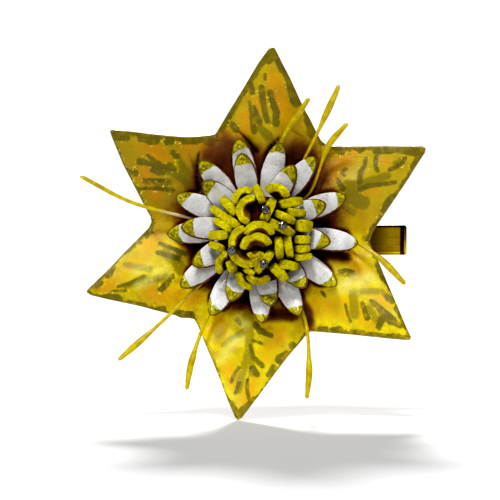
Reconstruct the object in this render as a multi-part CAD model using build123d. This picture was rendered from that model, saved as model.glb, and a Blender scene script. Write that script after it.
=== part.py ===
from build123d import *
import os
from math import atan2, cos, degrees, hypot, radians, sin, sqrt

# A leather flower hair clip, in millimetres, standing as it is worn.
# +X runs along the clip to its finger tabs, +Y points to the head and +Z is up.
# The origin is the middle of the toothed jaws, on the plane where they close.
# The flower is drawn in a frame of its own: u to the right, v up, and w out of the
# flower towards whoever looks at it, with the back of the star at w = 0.

# ---- clip ---------------------------------------------------------------------
SHEET = 0.8
CLIP_WIDTH = 10.0
CLIP_LEFT = -22.0
CLIP_RIGHT = 50.0
CLIP_CORNER_R = 1.0
EDGE_ROLL_R = 0.7
END_ROLL_R = 1.4
RIM_HEIGHT = 1.0
SIDE_PLAY = 0.4

HINGE_X = 27.0
HINGE_Y = 3.4
EAR_R = 2.6
EAR_BASE = 10.0
PIN_R = 1.0
PIN_PLAY = 0.05
PIN_HEAD_R = 1.8
PIN_HEAD_HEIGHT = 0.6
PIN_HEAD_ROUND = 0.35

JAW_LEFT = -21.0
JAW_WEB_END = 23.5
JAW_TOP = 3.2
JAW_GAP = 0.1
JAW_CORNER_R = 1.5
TOOTH_PITCH = 2.0
TOOTH_HEIGHT = 0.9
TOOTH_COUNT = 17
TAIL_ANGLE = 12.0
TAIL_START = 3.5
TAIL_LENGTH = 21.0
TAIL_OFFSET = 2.3
TAIL_CHEEK_OFFSET = 0.9

SPRING_WIRE_R = 0.35
SPRING_R = 1.9
SPRING_PITCH = 0.85
SPRING_WHOLE_TURNS = 3
SPRING_PLATE_LEG = 9.0
SPRING_PLATE_ANGLE = 6.0
SPRING_TAIL_LEG = 11.0

# ---- stack of the flower, from the clip outwards ------------------------------
BACKING_R = 18.0
BACKING_THICK = 1.2
STAR_THICK = 1.6
STAR_FLAT_R = 13.0
STAR_RIDGE_RISE = 5.0
STAR_TIP_RISE = 10.0
STAR_NOTCH_RISE = 1.0
RIDGE_SHARE = 0.5
BASE_PAD_R = 11.0
BASE_PAD_THICK = 2.5
PETAL_THICK = 2.0
PETAL_BASE_R = 6.0
PETAL_FLAT_R = 10.0
HUB_R = 5.8
HUB_COLLAR_R = 9.8
HUB_COLLAR_THICK = 2.3
LOOP_PAD_R = 15.5
LOOP_PAD_THICK = 1.0
DOME_CENTRE = (1.0, -3.0)
DOME_RISE = 10.6
DOME_SPHERE_R = 25.5
LACE_THICK = 1.7
GLUE_GAP = 0.05

BASE_PAD_W = STAR_THICK
LOWER_PETAL_W = BASE_PAD_W + BASE_PAD_THICK
UPPER_PETAL_W = LOWER_PETAL_W + PETAL_THICK
COLLAR_W = UPPER_PETAL_W + PETAL_THICK
LOOP_PAD_W = COLLAR_W + HUB_COLLAR_THICK
LOOP_W = LOOP_PAD_W + LOOP_PAD_THICK + GLUE_GAP
DOME_TOP_W = LOOP_W + DOME_RISE

# The flower's centre is above the clip's centre line, and the star's back lies on the
# backing disc, which is glued to the front of the clip's top plate.
FLOWER_RISE = 3.5
FLOWER = Pos(0, -SHEET - BACKING_THICK, FLOWER_RISE) * Rot(90, 0, 0)

# ---- outlines, set by hand: the flower is hand cut and a little uneven ---------
STAR_TIPS = [(5.7, 60.0), (55.7, 27.3), (50.7, -36.0), (-7.0, -62.7), (-57.0, -21.0), (-48.7, 32.7)]
STAR_NOTCHES = [(22.3, 28.0), (37.7, -4.0), (17.3, -34.3), (-21.3, -30.3), (-36.0, 2.7), (-14.3, 31.7)]

# Petals: the angle of each in degrees, and how far out its tip reaches.
UPPER_PETALS = [
    (103.0, 25.7),
    (60.8, 24.2),
    (21.9, 23.7),
    (-10.0, 24.0),
    (-50.0, 24.3),
    (-80.5, 25.3),
    (-112.0, 25.0),
    (-152.4, 24.3),
    (178.0, 25.2),
    (138.0, 24.0),
]
LOWER_PETALS = [
    (102.0, 30.7),
    (76.0, 29.7),
    (52.3, 30.5),
    (21.5, 31.0),
    (-8.0, 33.3),
    (-35.3, 31.7),
    (-63.4, 31.3),
    (-87.8, 30.7),
    (-118.6, 32.2),
    (-143.3, 31.7),
    (-178.0, 30.0),
    (157.2, 29.3),
    (129.6, 29.8),
]
# Half the width at the base, half the width at the shoulder, how far the shoulder and
# the round of the tip lie behind the tip, and how far the tip curls up.
UPPER_SHAPE = {"base": 1.25, "shoulder": 3.9, "behind": 9.0, "round": 3.0, "curl": 8.0}
LOWER_SHAPE = {"base": 1.05, "shoulder": 3.9, "behind": 10.5, "round": 3.4, "curl": 6.5}
TIP_ROUND_SHARE = 0.72

# Stamens: the points of each from its root under the petals to its blunt tip.
STAMENS = [
    [(-11.2, 1.8), (-23.5, 4.2), (-42.2, 9.3), (-59.0, 18.0)],
    [(-8.3, -8.0), (-20.9, -19.8), (-32.8, -31.2), (-46.3, -43.1)],
    [(-5.8, -10.2), (-16.5, -28.3), (-21.8, -42.7), (-23.7, -52.9)],
    [(6.0, -10.0), (15.2, -28.5), (16.9, -44.7), (16.1, -55.9)],
    [(11.2, 0.6), (22.0, -2.2), (31.5, -3.7), (40.2, -9.2), (48.7, -18.0)],
    [(9.6, 6.4), (17.5, 12.8), (22.9, 27.1), (29.5, 35.4)],
    [(6.6, 9.6), (15.7, 24.2), (24.6, 42.9), (26.7, 48.0)],
    [(2.6, 11.2), (8.0, 29.7), (13.5, 38.6), (16.9, 43.7)],
]
# How far each stamen dips below the usual height where it passes under a petal.
STAMEN_DIPS = [0.0, 0.0, 0.0, 0.0, 1.6, 0.0, 0.0, 0.0]
DIP_END_R = 35.0
STAMEN_ROOT_W = 2.85
STAMEN_MID_W = 7.2
STAMEN_TIP_W = 13.5
STAMEN_ROOT_R = 11.4
STAMEN_MID_R = 30.0
STAMEN_THIN_R = 0.45
STAMEN_PADDLE_R = 0.95
STAMEN_BLUNT_R = 0.65
PADDLE_BACK = 3.5

# Crystals in their settings, on top of four of the loops.
CRYSTALS = [(2.5, 6.7), (8.0, 1.7), (-8.5, -6.7), (1.8, -10.9)]
CUP_R = 1.45
CUP_HEIGHT = 1.5
CUP_SINK = 0.5
CUP_FLOOR = 0.5
STONE_R = 1.15
STONE_TABLE_R = 0.65
STONE_HEIGHT = 1.35
STONE_GIRDLE = 0.9

# Lace loops of the dome: two points are the feet of an arched loop, three points are a
# loop bent on edge through them. The last number is the width seen from the front.
# Each row of the list is one node, and what is laid first lies over what comes later.
LOOP_NODES = [
    [([(-5.6, -5.5), (-0.6, -0.8), (4.4, -4.7)], 1.8)],
    [([(-4.6, -1.6), (0.4, 2.9), (5.4, -1.0)], 1.8)],
    [([(-9.6, -6.0), (-5.0, -11.5), (0.9, -9.2)], 2.0), ([(-2.4, -6.6), (-0.5, -8.9), (1.1, -7.0)], 1.5)],
    [([(-4.5, 1.2), (-9.2, -2.4), (-8.6, -6.0)], 1.8), ([(-16.3, -2.0), (-9.9, -0.6)], 2.4)],
    [([(4.9, 9.9), (0.8, 2.9)], 2.6), ([(-0.2, 14.4), (2.4, 9.0)], 2.2)],
    [([(3.6, 3.4), (11.8, -1.2)], 2.4), ([(5.4, 5.2), (12.3, 3.4)], 2.0)],
    [([(4.8, -6.3), (0.6, -14.0)], 2.4), ([(-4.2, -13.0), (-1.2, -14.0)], 1.6)],
    [([(-0.5, 10.2), (-7.0, 6.8), (-1.5, 2.8)], 1.9), ([(-8.1, 8.2), (-6.1, 13.9), (-1.7, 12.6)], 1.8)],
    [([(-15.5, 6.7), (-5.0, 1.4)], 2.4), ([(-11.8, 10.9), (-7.0, 3.5)], 2.4)],
    [([(-14.6, 3.4), (-8.0, 0.8)], 1.8), ([(-16.0, -4.2), (-12.4, -6.4)], 1.6)],
    [([(2.1, 13.4), (6.0, 15.9), (10.0, 10.5)], 2.2)],
    [([(7.2, 8.6), (13.8, 10.2)], 2.4), ([(9.7, 6.5), (15.0, 5.5)], 2.0)],
    [([(6.4, -1.4), (7.4, -10.1)], 2.2), ([(9.0, -1.2), (10.4, -9.0)], 2.2)],
    [([(12.6, 1.2), (17.5, 0.9)], 3.0), ([(11.6, -3.4), (17.0, -2.9)], 2.1)],
    [([(12.0, -6.1), (16.9, -5.9)], 1.8), ([(11.8, -9.2), (17.2, -8.4)], 2.2)],
    [([(6.8, -11.2), (12.9, -11.4)], 2.4), ([(4.2, -12.0), (8.8, -16.0)], 2.4)],
    [
        ([(-3.5, -15.3), (1.0, -17.6), (4.1, -15.6)], 1.6),
        ([(-6.6, -13.9), (-6.2, -18.0), (-1.7, -19.0)], 2.0),
    ],
    [([(-9.9, -6.6), (-13.2, -9.6), (-13.6, -13.6)], 2.0), ([(-8.6, -9.8), (-9.3, -14.0)], 2.6)],
]


def slab(sketch, y_low, y_high):
    """A plate from a sketch drawn with X to the right and Z up, between two values of Y."""
    return extrude(Plane.XZ.offset(-y_high) * sketch, y_high - y_low)


def cheeks(sketch, z_inner, z_outer):
    """Two side plates from one sketch in X and Y, one at each side of the centre line."""
    one = Pos(0, 0, z_inner) * extrude(sketch, z_outer - z_inner)
    return one + mirror(one, about=Plane.XY)


def cross_pin(radius, half_length):
    """A round bar along the hinge's axis."""
    return Pos(HINGE_X, HINGE_Y, 0) * Cylinder(radius, 2 * half_length)


# ---- clip ---------------------------------------------------------------------
def make_top_plate():
    """Pressed plate with its edges rolled to the back and two ears for the hinge pin."""
    middle = (CLIP_LEFT + CLIP_RIGHT) / 2
    length = CLIP_RIGHT - CLIP_LEFT
    outline = Pos(middle, 0) * RectangleRounded(length, CLIP_WIDTH, CLIP_CORNER_R)
    hollow = Pos(middle, 0) * RectangleRounded(
        length - 2 * SHEET, CLIP_WIDTH - 2 * SHEET, CLIP_CORNER_R - SHEET
    )
    plate = slab(outline, -SHEET, RIM_HEIGHT)
    front_edges = plate.faces().sort_by(Axis.Y)[0].edges()
    plate = fillet(front_edges, EDGE_ROLL_R) & rolled_end()
    plate -= slab(hollow, 0, RIM_HEIGHT)
    base = Pos(HINGE_X, RIM_HEIGHT / 2) * Rectangle(EAR_BASE, RIM_HEIGHT)
    lobe = Pos(HINGE_X, HINGE_Y) * Circle(EAR_R)
    ear = make_hull((base + lobe).edges())
    plate += cheeks(ear, CLIP_WIDTH / 2 - SHEET, CLIP_WIDTH / 2)
    return plate - cross_pin(PIN_R, CLIP_WIDTH)


def rolled_end():
    """Side outline of the top plate, extruded: its tab end is rolled to a larger radius."""
    with BuildSketch() as side:
        with BuildLine():
            FilletPolyline(
                (CLIP_LEFT, -SHEET), (CLIP_RIGHT, -SHEET), (CLIP_RIGHT, RIM_HEIGHT), radius=END_ROLL_R
            )
            Polyline((CLIP_RIGHT, RIM_HEIGHT), (CLIP_LEFT, RIM_HEIGHT), (CLIP_LEFT, -SHEET))
        make_face()
    return extrude(side.sketch, CLIP_WIDTH, both=True)


def jaw_cheek():
    """Side of the lower jaw: teeth, the lobe round the hinge, and the edge of the tail."""
    root = JAW_GAP + TOOTH_HEIGHT
    points = [(JAW_LEFT, JAW_TOP), (JAW_LEFT, root)]
    for tooth in range(TOOTH_COUNT):
        start = JAW_LEFT + tooth * TOOTH_PITCH
        points.append((start + TOOTH_PITCH / 2, JAW_GAP))
        points.append((start + TOOTH_PITCH, root))
    points.append((HINGE_X, root))
    points.append((HINGE_X, HINGE_Y))
    points.append((HINGE_X - EAR_R, HINGE_Y))
    points.append((HINGE_X - EAR_R, JAW_TOP))
    jaw = make_face(Polyline(*points, close=True))
    lobe = Pos(HINGE_X, HINGE_Y) * Circle(EAR_R)
    height = TAIL_OFFSET + SHEET - TAIL_CHEEK_OFFSET
    edge = Pos(TAIL_LENGTH / 2, TAIL_CHEEK_OFFSET + height / 2) * Rectangle(TAIL_LENGTH, height)
    tail = Pos(HINGE_X, HINGE_Y) * Rot(0, 0, TAIL_ANGLE) * edge
    return jaw + lobe + tail


def make_lower_jaw():
    """Toothed channel inside the top plate's rim, with a lever tail behind the hinge."""
    width = CLIP_WIDTH - 2 * SHEET - 2 * SIDE_PLAY
    inner = width / 2 - SHEET
    jaw = cheeks(jaw_cheek(), inner, width / 2)
    web_length = JAW_WEB_END - JAW_LEFT
    web_place = Pos(JAW_LEFT + web_length / 2, JAW_TOP - SHEET / 2, 0)
    jaw += web_place * Box(web_length, SHEET, width)
    tail_run = TAIL_LENGTH - TAIL_START
    tail_place = Pos(TAIL_START + tail_run / 2, TAIL_OFFSET + SHEET / 2, 0)
    tail_web = tail_place * Box(tail_run, SHEET, width)
    jaw += Pos(HINGE_X, HINGE_Y, 0) * Rot(0, 0, TAIL_ANGLE) * tail_web
    tail_end = HINGE_X + TAIL_LENGTH * cos(radians(TAIL_ANGLE)) - TAIL_OFFSET * sin(radians(TAIL_ANGLE))
    plan_length = tail_end - JAW_LEFT
    plan = Pos(JAW_LEFT + plan_length / 2, 0) * RectangleRounded(plan_length, width, JAW_CORNER_R)
    jaw = jaw & slab(plan, -CLIP_WIDTH, 2 * CLIP_WIDTH)
    return jaw - cross_pin(PIN_R + PIN_PLAY, CLIP_WIDTH)


def make_hinge_pin():
    """Rivet through both ears, with a low domed head at each end."""
    head = Cylinder(PIN_HEAD_R, PIN_HEAD_HEIGHT)
    head = fillet(head.faces().sort_by(Axis.Z)[-1].edges(), PIN_HEAD_ROUND)
    head = Pos(HINGE_X, HINGE_Y, (CLIP_WIDTH + PIN_HEAD_HEIGHT) / 2) * head
    return cross_pin(PIN_R, CLIP_WIDTH / 2) + head + mirror(head, about=Plane.XY)


def make_spring():
    """Torsion spring round the pin, one leg on the top plate and one under the tail."""
    tail_angle = 90 + TAIL_ANGLE
    plate_angle = 270 - SPRING_PLATE_ANGLE
    turns = SPRING_WHOLE_TURNS + (plate_angle - tail_angle) / 360
    height = turns * SPRING_PITCH
    helix = Helix(pitch=SPRING_PITCH, height=height, radius=SPRING_R)
    start = Plane(origin=helix @ 0, z_dir=helix % 0)
    coil = sweep(start * Circle(SPRING_WIRE_R), path=helix, is_frenet=True)
    tail_plane = Plane(origin=helix @ 0, z_dir=(helix % 0) * -1)
    plate_plane = Plane(origin=helix @ 1, z_dir=helix % 1)
    coil += Solid.make_cylinder(SPRING_WIRE_R, SPRING_TAIL_LEG, tail_plane)
    coil += Solid.make_cylinder(SPRING_WIRE_R, SPRING_PLATE_LEG, plate_plane)
    return Pos(HINGE_X, HINGE_Y, -height / 2) * Rot(0, 0, tail_angle) * coil


# ---- star and pads ------------------------------------------------------------
def disc(radius, w_low, thick, centre=(0.0, 0.0)):
    """A flat disc of the flower's stack."""
    return FLOWER * Pos(centre[0], centre[1], w_low + thick / 2) * Cylinder(radius, thick)


def make_star():
    """Six arms round a flat middle, each ridged along its length and curling forward."""
    tops = []
    outline = []
    for index, tip in enumerate(STAR_TIPS):
        right = STAR_NOTCHES[index]
        left = STAR_NOTCHES[index - 1]
        tip_point = (*tip, STAR_TIP_RISE)
        left_point = (*left, STAR_NOTCH_RISE)
        right_point = (*right, STAR_NOTCH_RISE)
        ridge = (tip[0] * RIDGE_SHARE, tip[1] * RIDGE_SHARE, STAR_RIDGE_RISE)
        flat_left = flat_corner(left)
        flat_right = flat_corner(right)
        tops += [
            [left_point, tip_point, ridge],
            [tip_point, right_point, ridge],
            [right_point, flat_right, ridge],
            [flat_right, flat_left, ridge],
            [flat_left, left_point, ridge],
        ]
        outline += [tip_point, right_point]
    tops.append([flat_corner(notch) for notch in STAR_NOTCHES])
    faces = []
    for polygon in tops:
        faces.append(polygon_face(polygon))
        faces.append(polygon_face([raised(point) for point in polygon]))
    for index, point in enumerate(outline):
        before = outline[index - 1]
        faces.append(polygon_face([before, point, raised(point), raised(before)]))
    return FLOWER * Solid(Shell(faces))


def flat_corner(notch):
    """Corner of the star's flat middle, on the valley that runs to a notch."""
    share = STAR_FLAT_R / hypot(*notch)
    return (notch[0] * share, notch[1] * share, 0.0)


def raised(point):
    """The point on the front of the leather in front of one on its back."""
    return (point[0], point[1], point[2] + STAR_THICK)


def polygon_face(points):
    """A flat face through the given corners."""
    return Face(Wire.make_polygon([Vector(*point) for point in points], close=True))


def make_hub():
    """Core that the petals are set round, with the collar that holds their bases down."""
    core_height = 2 * PETAL_THICK
    core = disc(HUB_R, LOWER_PETAL_W, core_height)
    return core + disc(HUB_COLLAR_R, COLLAR_W, HUB_COLLAR_THICK)


# ---- petals -------------------------------------------------------------------
def petal_side(tip_r, w_low, curl):
    """Side view of a petal: a flat base, then a curl up to the tip, all of one thickness."""
    with BuildSketch() as side:
        with BuildLine():
            low_flat = Line((PETAL_BASE_R, w_low), (PETAL_FLAT_R, w_low))
            low_curl = curl_arc(tip_r, w_low, curl)
            Line(low_curl @ 1, (tip_r, w_low + curl + PETAL_THICK))
            curl_arc(tip_r, w_low + PETAL_THICK, curl)
            Line((PETAL_FLAT_R, w_low + PETAL_THICK), (PETAL_BASE_R, w_low + PETAL_THICK))
            Line((PETAL_BASE_R, w_low + PETAL_THICK), low_flat @ 0)
        make_face()
    return side.sketch


def curl_arc(tip_r, w, curl):
    """Arc that leaves the flat base smoothly and ends at the tip."""
    return TangentArc((PETAL_FLAT_R, w), (tip_r, w + curl), tangent=(1, 0))


def petal_plan(tip_r, shape):
    """Front view of a petal: straight flanks to the shoulders, then a pointed round."""
    shoulder_r = tip_r - shape["behind"]
    round_r = tip_r - shape["round"]
    round_half = shape["shoulder"] * TIP_ROUND_SHARE
    shoulder = shape["shoulder"]
    base = shape["base"]
    with BuildSketch() as plan:
        with BuildLine():
            Line((shoulder_r, -shoulder), (PETAL_BASE_R, -base))
            Line((PETAL_BASE_R, -base), (PETAL_BASE_R, base))
            Line((PETAL_BASE_R, base), (shoulder_r, shoulder))
            ThreePointArc((shoulder_r, shoulder), (round_r, round_half), (tip_r, 0))
            ThreePointArc((tip_r, 0), (round_r, -round_half), (shoulder_r, -shoulder))
        make_face()
    return plan.sketch


def make_petal(angle, tip_r, w_low, shape):
    """One thick leather petal at its angle round the flower."""
    width = 4 * shape["shoulder"]
    side = extrude(Plane.XZ.offset(-width / 2) * petal_side(tip_r, w_low, shape["curl"]), width)
    plan = extrude(petal_plan(tip_r, shape), 3 * DOME_TOP_W)
    return FLOWER * Rot(0, 0, angle) * (side & plan)


# ---- stamens ------------------------------------------------------------------
def stamen_height(u, v, tip_r):
    """Height of a stamen's middle line over the star, by its distance from the centre."""
    r = hypot(u, v)
    if r <= STAMEN_MID_R:
        share = (r - STAMEN_ROOT_R) / (STAMEN_MID_R - STAMEN_ROOT_R)
        return STAMEN_ROOT_W + share * (STAMEN_MID_W - STAMEN_ROOT_W)
    share = (r - STAMEN_MID_R) / (tip_r - STAMEN_MID_R)
    return STAMEN_MID_W + share * (STAMEN_TIP_W - STAMEN_MID_W)


def rod(start, end, start_r, end_r):
    """A round rod between two points, tapered from one radius to the other."""
    along = end - start
    plane = Plane(origin=start, z_dir=along)
    if abs(start_r - end_r) < 1e-6:
        return Solid.make_cylinder(start_r, along.length, plane)
    return Solid.make_cone(start_r, end_r, along.length, plane)


def make_stamen(route, dip):
    """Thin stem that swells to a paddle just behind its blunt tip."""
    tip_r = hypot(*route[-1])
    points = []
    for u, v in route:
        middle_w = stamen_height(u, v, tip_r)
        if STAMEN_ROOT_R < hypot(u, v) < DIP_END_R:
            middle_w -= dip
        points.append(Vector(u, v, middle_w))
    tip = points[-1]
    last_run = tip - points[-2]
    paddle = tip - last_run.normalized() * min(PADDLE_BACK, last_run.length / 2)
    stem = rod(points[0], points[1], STAMEN_THIN_R, STAMEN_THIN_R)
    for before, after in zip(points[1:-2], points[2:-1]):
        stem += Pos(before) * Sphere(STAMEN_THIN_R)
        stem += rod(before, after, STAMEN_THIN_R, STAMEN_THIN_R)
    stem += Pos(points[-2]) * Sphere(STAMEN_THIN_R)
    stem += rod(points[-2], paddle, STAMEN_THIN_R, STAMEN_PADDLE_R)
    stem += rod(paddle, tip, STAMEN_PADDLE_R, STAMEN_BLUNT_R)
    return FLOWER * stem


# ---- dome of lace loops and its crystals --------------------------------------
def dome_height(u, v):
    """Height of the dome's surface over one point of the flower."""
    r = hypot(u - DOME_CENTRE[0], v - DOME_CENTRE[1])
    return DOME_TOP_W - DOME_SPHERE_R + sqrt(DOME_SPHERE_R**2 - r**2)


def dome_solid(inset):
    """Everything under the dome's surface, or under one lying lower by the inset."""
    centre_w = DOME_TOP_W - DOME_SPHERE_R
    return Pos(*DOME_CENTRE, centre_w) * Sphere(DOME_SPHERE_R - inset)


def lace_loop(points, width):
    """One loop of lace: an arch over its two feet, or a curl standing on edge."""
    if len(points) == 2:
        path = Line(*points)
    else:
        path = ThreePointArc(*points)
    footprint = Pos(0, 0, LOOP_W) * trace(path, width)
    loop = extrude(footprint, DOME_RISE, dir=(0, 0, 1)) & dome_solid(0)
    if len(points) == 2:
        loop -= arch_tunnel(points, 2 * width)
    return loop


def arch_tunnel(points, width):
    """The hollow under an arched loop, one thickness of lace inside its outside."""
    (u0, v0), (u1, v1) = points
    turn = degrees(atan2(v1 - v0, u1 - u0))
    span = max(hypot(u1 - u0, v1 - v0) - 2 * LACE_THICK, LACE_THICK / 2)
    middle = Pos((u0 + u1) / 2, (v0 + v1) / 2, LOOP_W)
    return middle * Rot(0, 0, turn) * Box(span, width, 2 * DOME_RISE) & dome_solid(LACE_THICK)


def largest(shape):
    """The biggest solid of a shape, which drops crumbs left by a cut."""
    return shape.solids().sort_by(SortBy.VOLUME)[-1]


def boxes_meet(one, other):
    """Whether two shapes' bounding boxes overlap."""
    a, b = one.bounding_box(), other.bounding_box()
    low = all(x <= y for x, y in zip(tuple(a.min), tuple(b.max)))
    return low and all(x <= y for x, y in zip(tuple(b.min), tuple(a.max)))


def make_loops(settings):
    """All loop nodes, each loop pressed against the ones laid before it."""
    placed = list(settings)
    nodes = []
    for loops in LOOP_NODES:
        node = []
        for points, width in loops:
            loop = lace_loop(points, width)
            for other in placed:
                if boxes_meet(loop, other):
                    loop = largest(loop - other)
            placed.append(loop)
            node.append(loop)
        nodes.append(FLOWER * Compound(children=node))
    return nodes


def crystal_place(u, v):
    """Foot of a setting, sunk a little into the loops, square to the dome."""
    base = Vector(u, v, dome_height(u, v))
    centre = Vector(*DOME_CENTRE, DOME_TOP_W - DOME_SPHERE_R)
    outward = (base - centre).normalized()
    return Location(Plane(origin=base - outward * CUP_SINK, z_dir=outward))


def make_cup():
    """Setting: a round cup with a conical seat for the stone."""
    seat_height = CUP_HEIGHT - CUP_FLOOR
    seat = Pos(0, 0, CUP_FLOOR + seat_height / 2) * Cone(STONE_TABLE_R, STONE_R, seat_height)
    return Pos(0, 0, CUP_HEIGHT / 2) * Cylinder(CUP_R, CUP_HEIGHT) - seat


def make_stone():
    """Cut stone: it fills the seat below its girdle and has a flat table on top."""
    seat_height = CUP_HEIGHT - CUP_FLOOR
    crown_height = STONE_HEIGHT - STONE_GIRDLE
    pavilion = Pos(0, 0, CUP_FLOOR + seat_height / 2) * Cone(STONE_TABLE_R, STONE_R, seat_height)
    crown = Pos(0, 0, CUP_HEIGHT + crown_height / 2) * Cone(STONE_R, STONE_TABLE_R, crown_height)
    return pavilion + crown


# ---- the whole part -----------------------------------------------------------
def make_parts():
    """Every node of the part, by name."""
    parts = {
        "clip_top_plate": make_top_plate(),
        "clip_lower_jaw": make_lower_jaw(),
        "clip_hinge_pin": make_hinge_pin(),
        "clip_spring": make_spring(),
        "backing_disc": disc(BACKING_R, -BACKING_THICK, BACKING_THICK),
        "star_base": make_star(),
        "base_pad": disc(BASE_PAD_R, BASE_PAD_W, BASE_PAD_THICK),
        "centre_hub": make_hub(),
        "loop_pad": disc(LOOP_PAD_R, LOOP_PAD_W, LOOP_PAD_THICK, DOME_CENTRE),
    }
    for number, (angle, tip_r) in enumerate(UPPER_PETALS, 1):
        parts[f"upper_petal_{number:02d}"] = make_petal(angle, tip_r, UPPER_PETAL_W, UPPER_SHAPE)
    for number, (angle, tip_r) in enumerate(LOWER_PETALS, 1):
        parts[f"lower_petal_{number:02d}"] = make_petal(angle, tip_r, LOWER_PETAL_W, LOWER_SHAPE)
    for number, (route, dip) in enumerate(zip(STAMENS, STAMEN_DIPS), 1):
        parts[f"stamen_{number:02d}"] = make_stamen(route, dip)
    places = [crystal_place(u, v) for u, v in CRYSTALS]
    cups = [place * make_cup() for place in places]
    stones = [place * make_stone() for place in places]
    parts["crystal_settings"] = FLOWER * Compound(children=cups)
    parts["crystals"] = FLOWER * Compound(children=stones)
    settings = [place * Pos(0, 0, CUP_HEIGHT / 2) * Cylinder(CUP_R, CUP_HEIGHT) for place in places]
    for number, loops in enumerate(make_loops(settings), 1):
        parts[f"lace_loops_{number:02d}"] = loops
    return parts


os.makedirs("parts", exist_ok=True)
for name, shape in make_parts().items():
    export_step(shape, f"parts/{name}.step")
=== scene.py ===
import math
import random

import bpy
import bmesh
import numpy as np
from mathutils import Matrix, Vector, kdtree, noise


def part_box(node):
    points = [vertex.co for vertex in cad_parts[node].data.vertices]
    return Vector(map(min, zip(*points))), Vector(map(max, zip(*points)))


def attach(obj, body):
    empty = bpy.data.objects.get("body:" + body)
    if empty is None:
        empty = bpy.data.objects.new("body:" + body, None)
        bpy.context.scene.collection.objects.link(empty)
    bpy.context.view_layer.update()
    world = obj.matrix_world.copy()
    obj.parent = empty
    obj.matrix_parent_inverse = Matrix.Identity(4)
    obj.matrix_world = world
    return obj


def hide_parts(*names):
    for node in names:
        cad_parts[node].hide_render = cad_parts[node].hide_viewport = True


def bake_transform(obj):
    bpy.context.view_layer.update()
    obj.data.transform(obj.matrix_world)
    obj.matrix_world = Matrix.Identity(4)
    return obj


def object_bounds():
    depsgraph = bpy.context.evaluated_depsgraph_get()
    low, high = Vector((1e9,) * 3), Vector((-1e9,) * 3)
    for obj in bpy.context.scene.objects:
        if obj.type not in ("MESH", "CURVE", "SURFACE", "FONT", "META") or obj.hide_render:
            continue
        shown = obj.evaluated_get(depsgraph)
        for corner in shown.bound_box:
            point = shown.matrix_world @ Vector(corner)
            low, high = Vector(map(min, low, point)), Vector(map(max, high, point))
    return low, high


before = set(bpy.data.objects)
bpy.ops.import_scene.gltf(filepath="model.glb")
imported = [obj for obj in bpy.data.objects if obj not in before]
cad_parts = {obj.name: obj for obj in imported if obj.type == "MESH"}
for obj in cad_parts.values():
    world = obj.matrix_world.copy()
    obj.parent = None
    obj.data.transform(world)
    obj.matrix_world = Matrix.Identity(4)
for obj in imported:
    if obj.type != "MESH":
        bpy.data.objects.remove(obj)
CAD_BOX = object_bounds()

# A leather flower hair clip. The flower is drawn in millimetres in a frame of its own:
# u to the right, v up and w towards the viewer, with the back of the star at w = 0.
# flower_to_row() turns that into the row frame, from the box of the backing disc.

MM = 0.001
DISC_LOW, DISC_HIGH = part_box("backing_disc")
CENTRE_X = (DISC_LOW.x + DISC_HIGH.x) / 2
CENTRE_Z = (DISC_LOW.z + DISC_HIGH.z) / 2
STAR_BACK_Y = DISC_LOW.y


# ---- numbers of the flower ----------------------------------------------------
STAR_THICK = 1.6
STAR_FLAT_R = 13.0
STAR_RIDGE_RISE = 5.0
STAR_TIP_RISE = 10.0
STAR_NOTCH_RISE = 1.0
EDGE_ROUND = 0.8
BACK_ROUND = 0.3
# Rows of the star's sheet inside and outside the notches, points across half an arm, and its hole.
INNER_ROWS = 26
OUTER_ROWS = 72
HALF_COLUMNS = 33
HOLE_SHARE = 0.22

LOWER_W = 4.1
UPPER_W = 6.1
PETAL_THICK = 2.0
PETAL_BASE_R = 6.0
PETAL_FLAT_R = 10.0
LOOP_W = 11.45
DOME_CENTRE = (1.0, -3.0)
DOME_TOP_W = 22.05
DOME_SPHERE_R = 25.5
LACE_THICK = 1.7
CURL_DEPTH = 4.2
CURL_LEAN = 34.0
# How much wider the loops are than LOOP_NODES lists them.
ARCH_EXTRA = 0.45
CURL_EXTRA = 0.6

DISC_R = 18.0
DISC_THICK = 1.2
BASE_PAD_R = 11.0
BASE_PAD_TOP_W = 4.1
HUB_TOP_W = 10.4
MOUND_R = 14.2
MOUND_TURN_R = 13.9
MOUND_EDGE_W = 11.4
MOUND_SINK = 5.2

STAMEN_FOOT_R = 11.4
STAMEN_FOOT_W = 2.85
STAMEN_BEND_R = 30.0
STAMEN_BEND_W = 7.2
STAMEN_TIP_W = 13.5
THIN_STAMEN = 1
# This stamen runs lower, between two petals, as far out as LOW_END_R.
LOW_STAMEN = 5
LOW_END_R = 35.0
LOW_DROP = 1.6

# One petal has hardly any olive on its tip.
BARE_TIP_PETAL = "lower_petal_05"
BARE_TIP_CAP = 0.5

# Metres: how near two points of the clip are welded for show, and the width asked of its bevel. The width
# reached is less: 0.13 mm on the rivet, and under 0.01 mm on the plate and the jaw, whose edges stay sharp.
CLIP_WELD = 0.000004
CLIP_BEVEL = 0.00026

STAR_TIPS = [(5.7, 60.0), (55.7, 27.3), (50.7, -36.0), (-7.0, -62.7), (-57.0, -21.0), (-48.7, 32.7)]
STAR_NOTCHES = [(22.3, 28.0), (37.7, -4.0), (17.3, -34.3), (-21.3, -30.3), (-36.0, 2.7), (-14.3, 31.7)]

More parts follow.
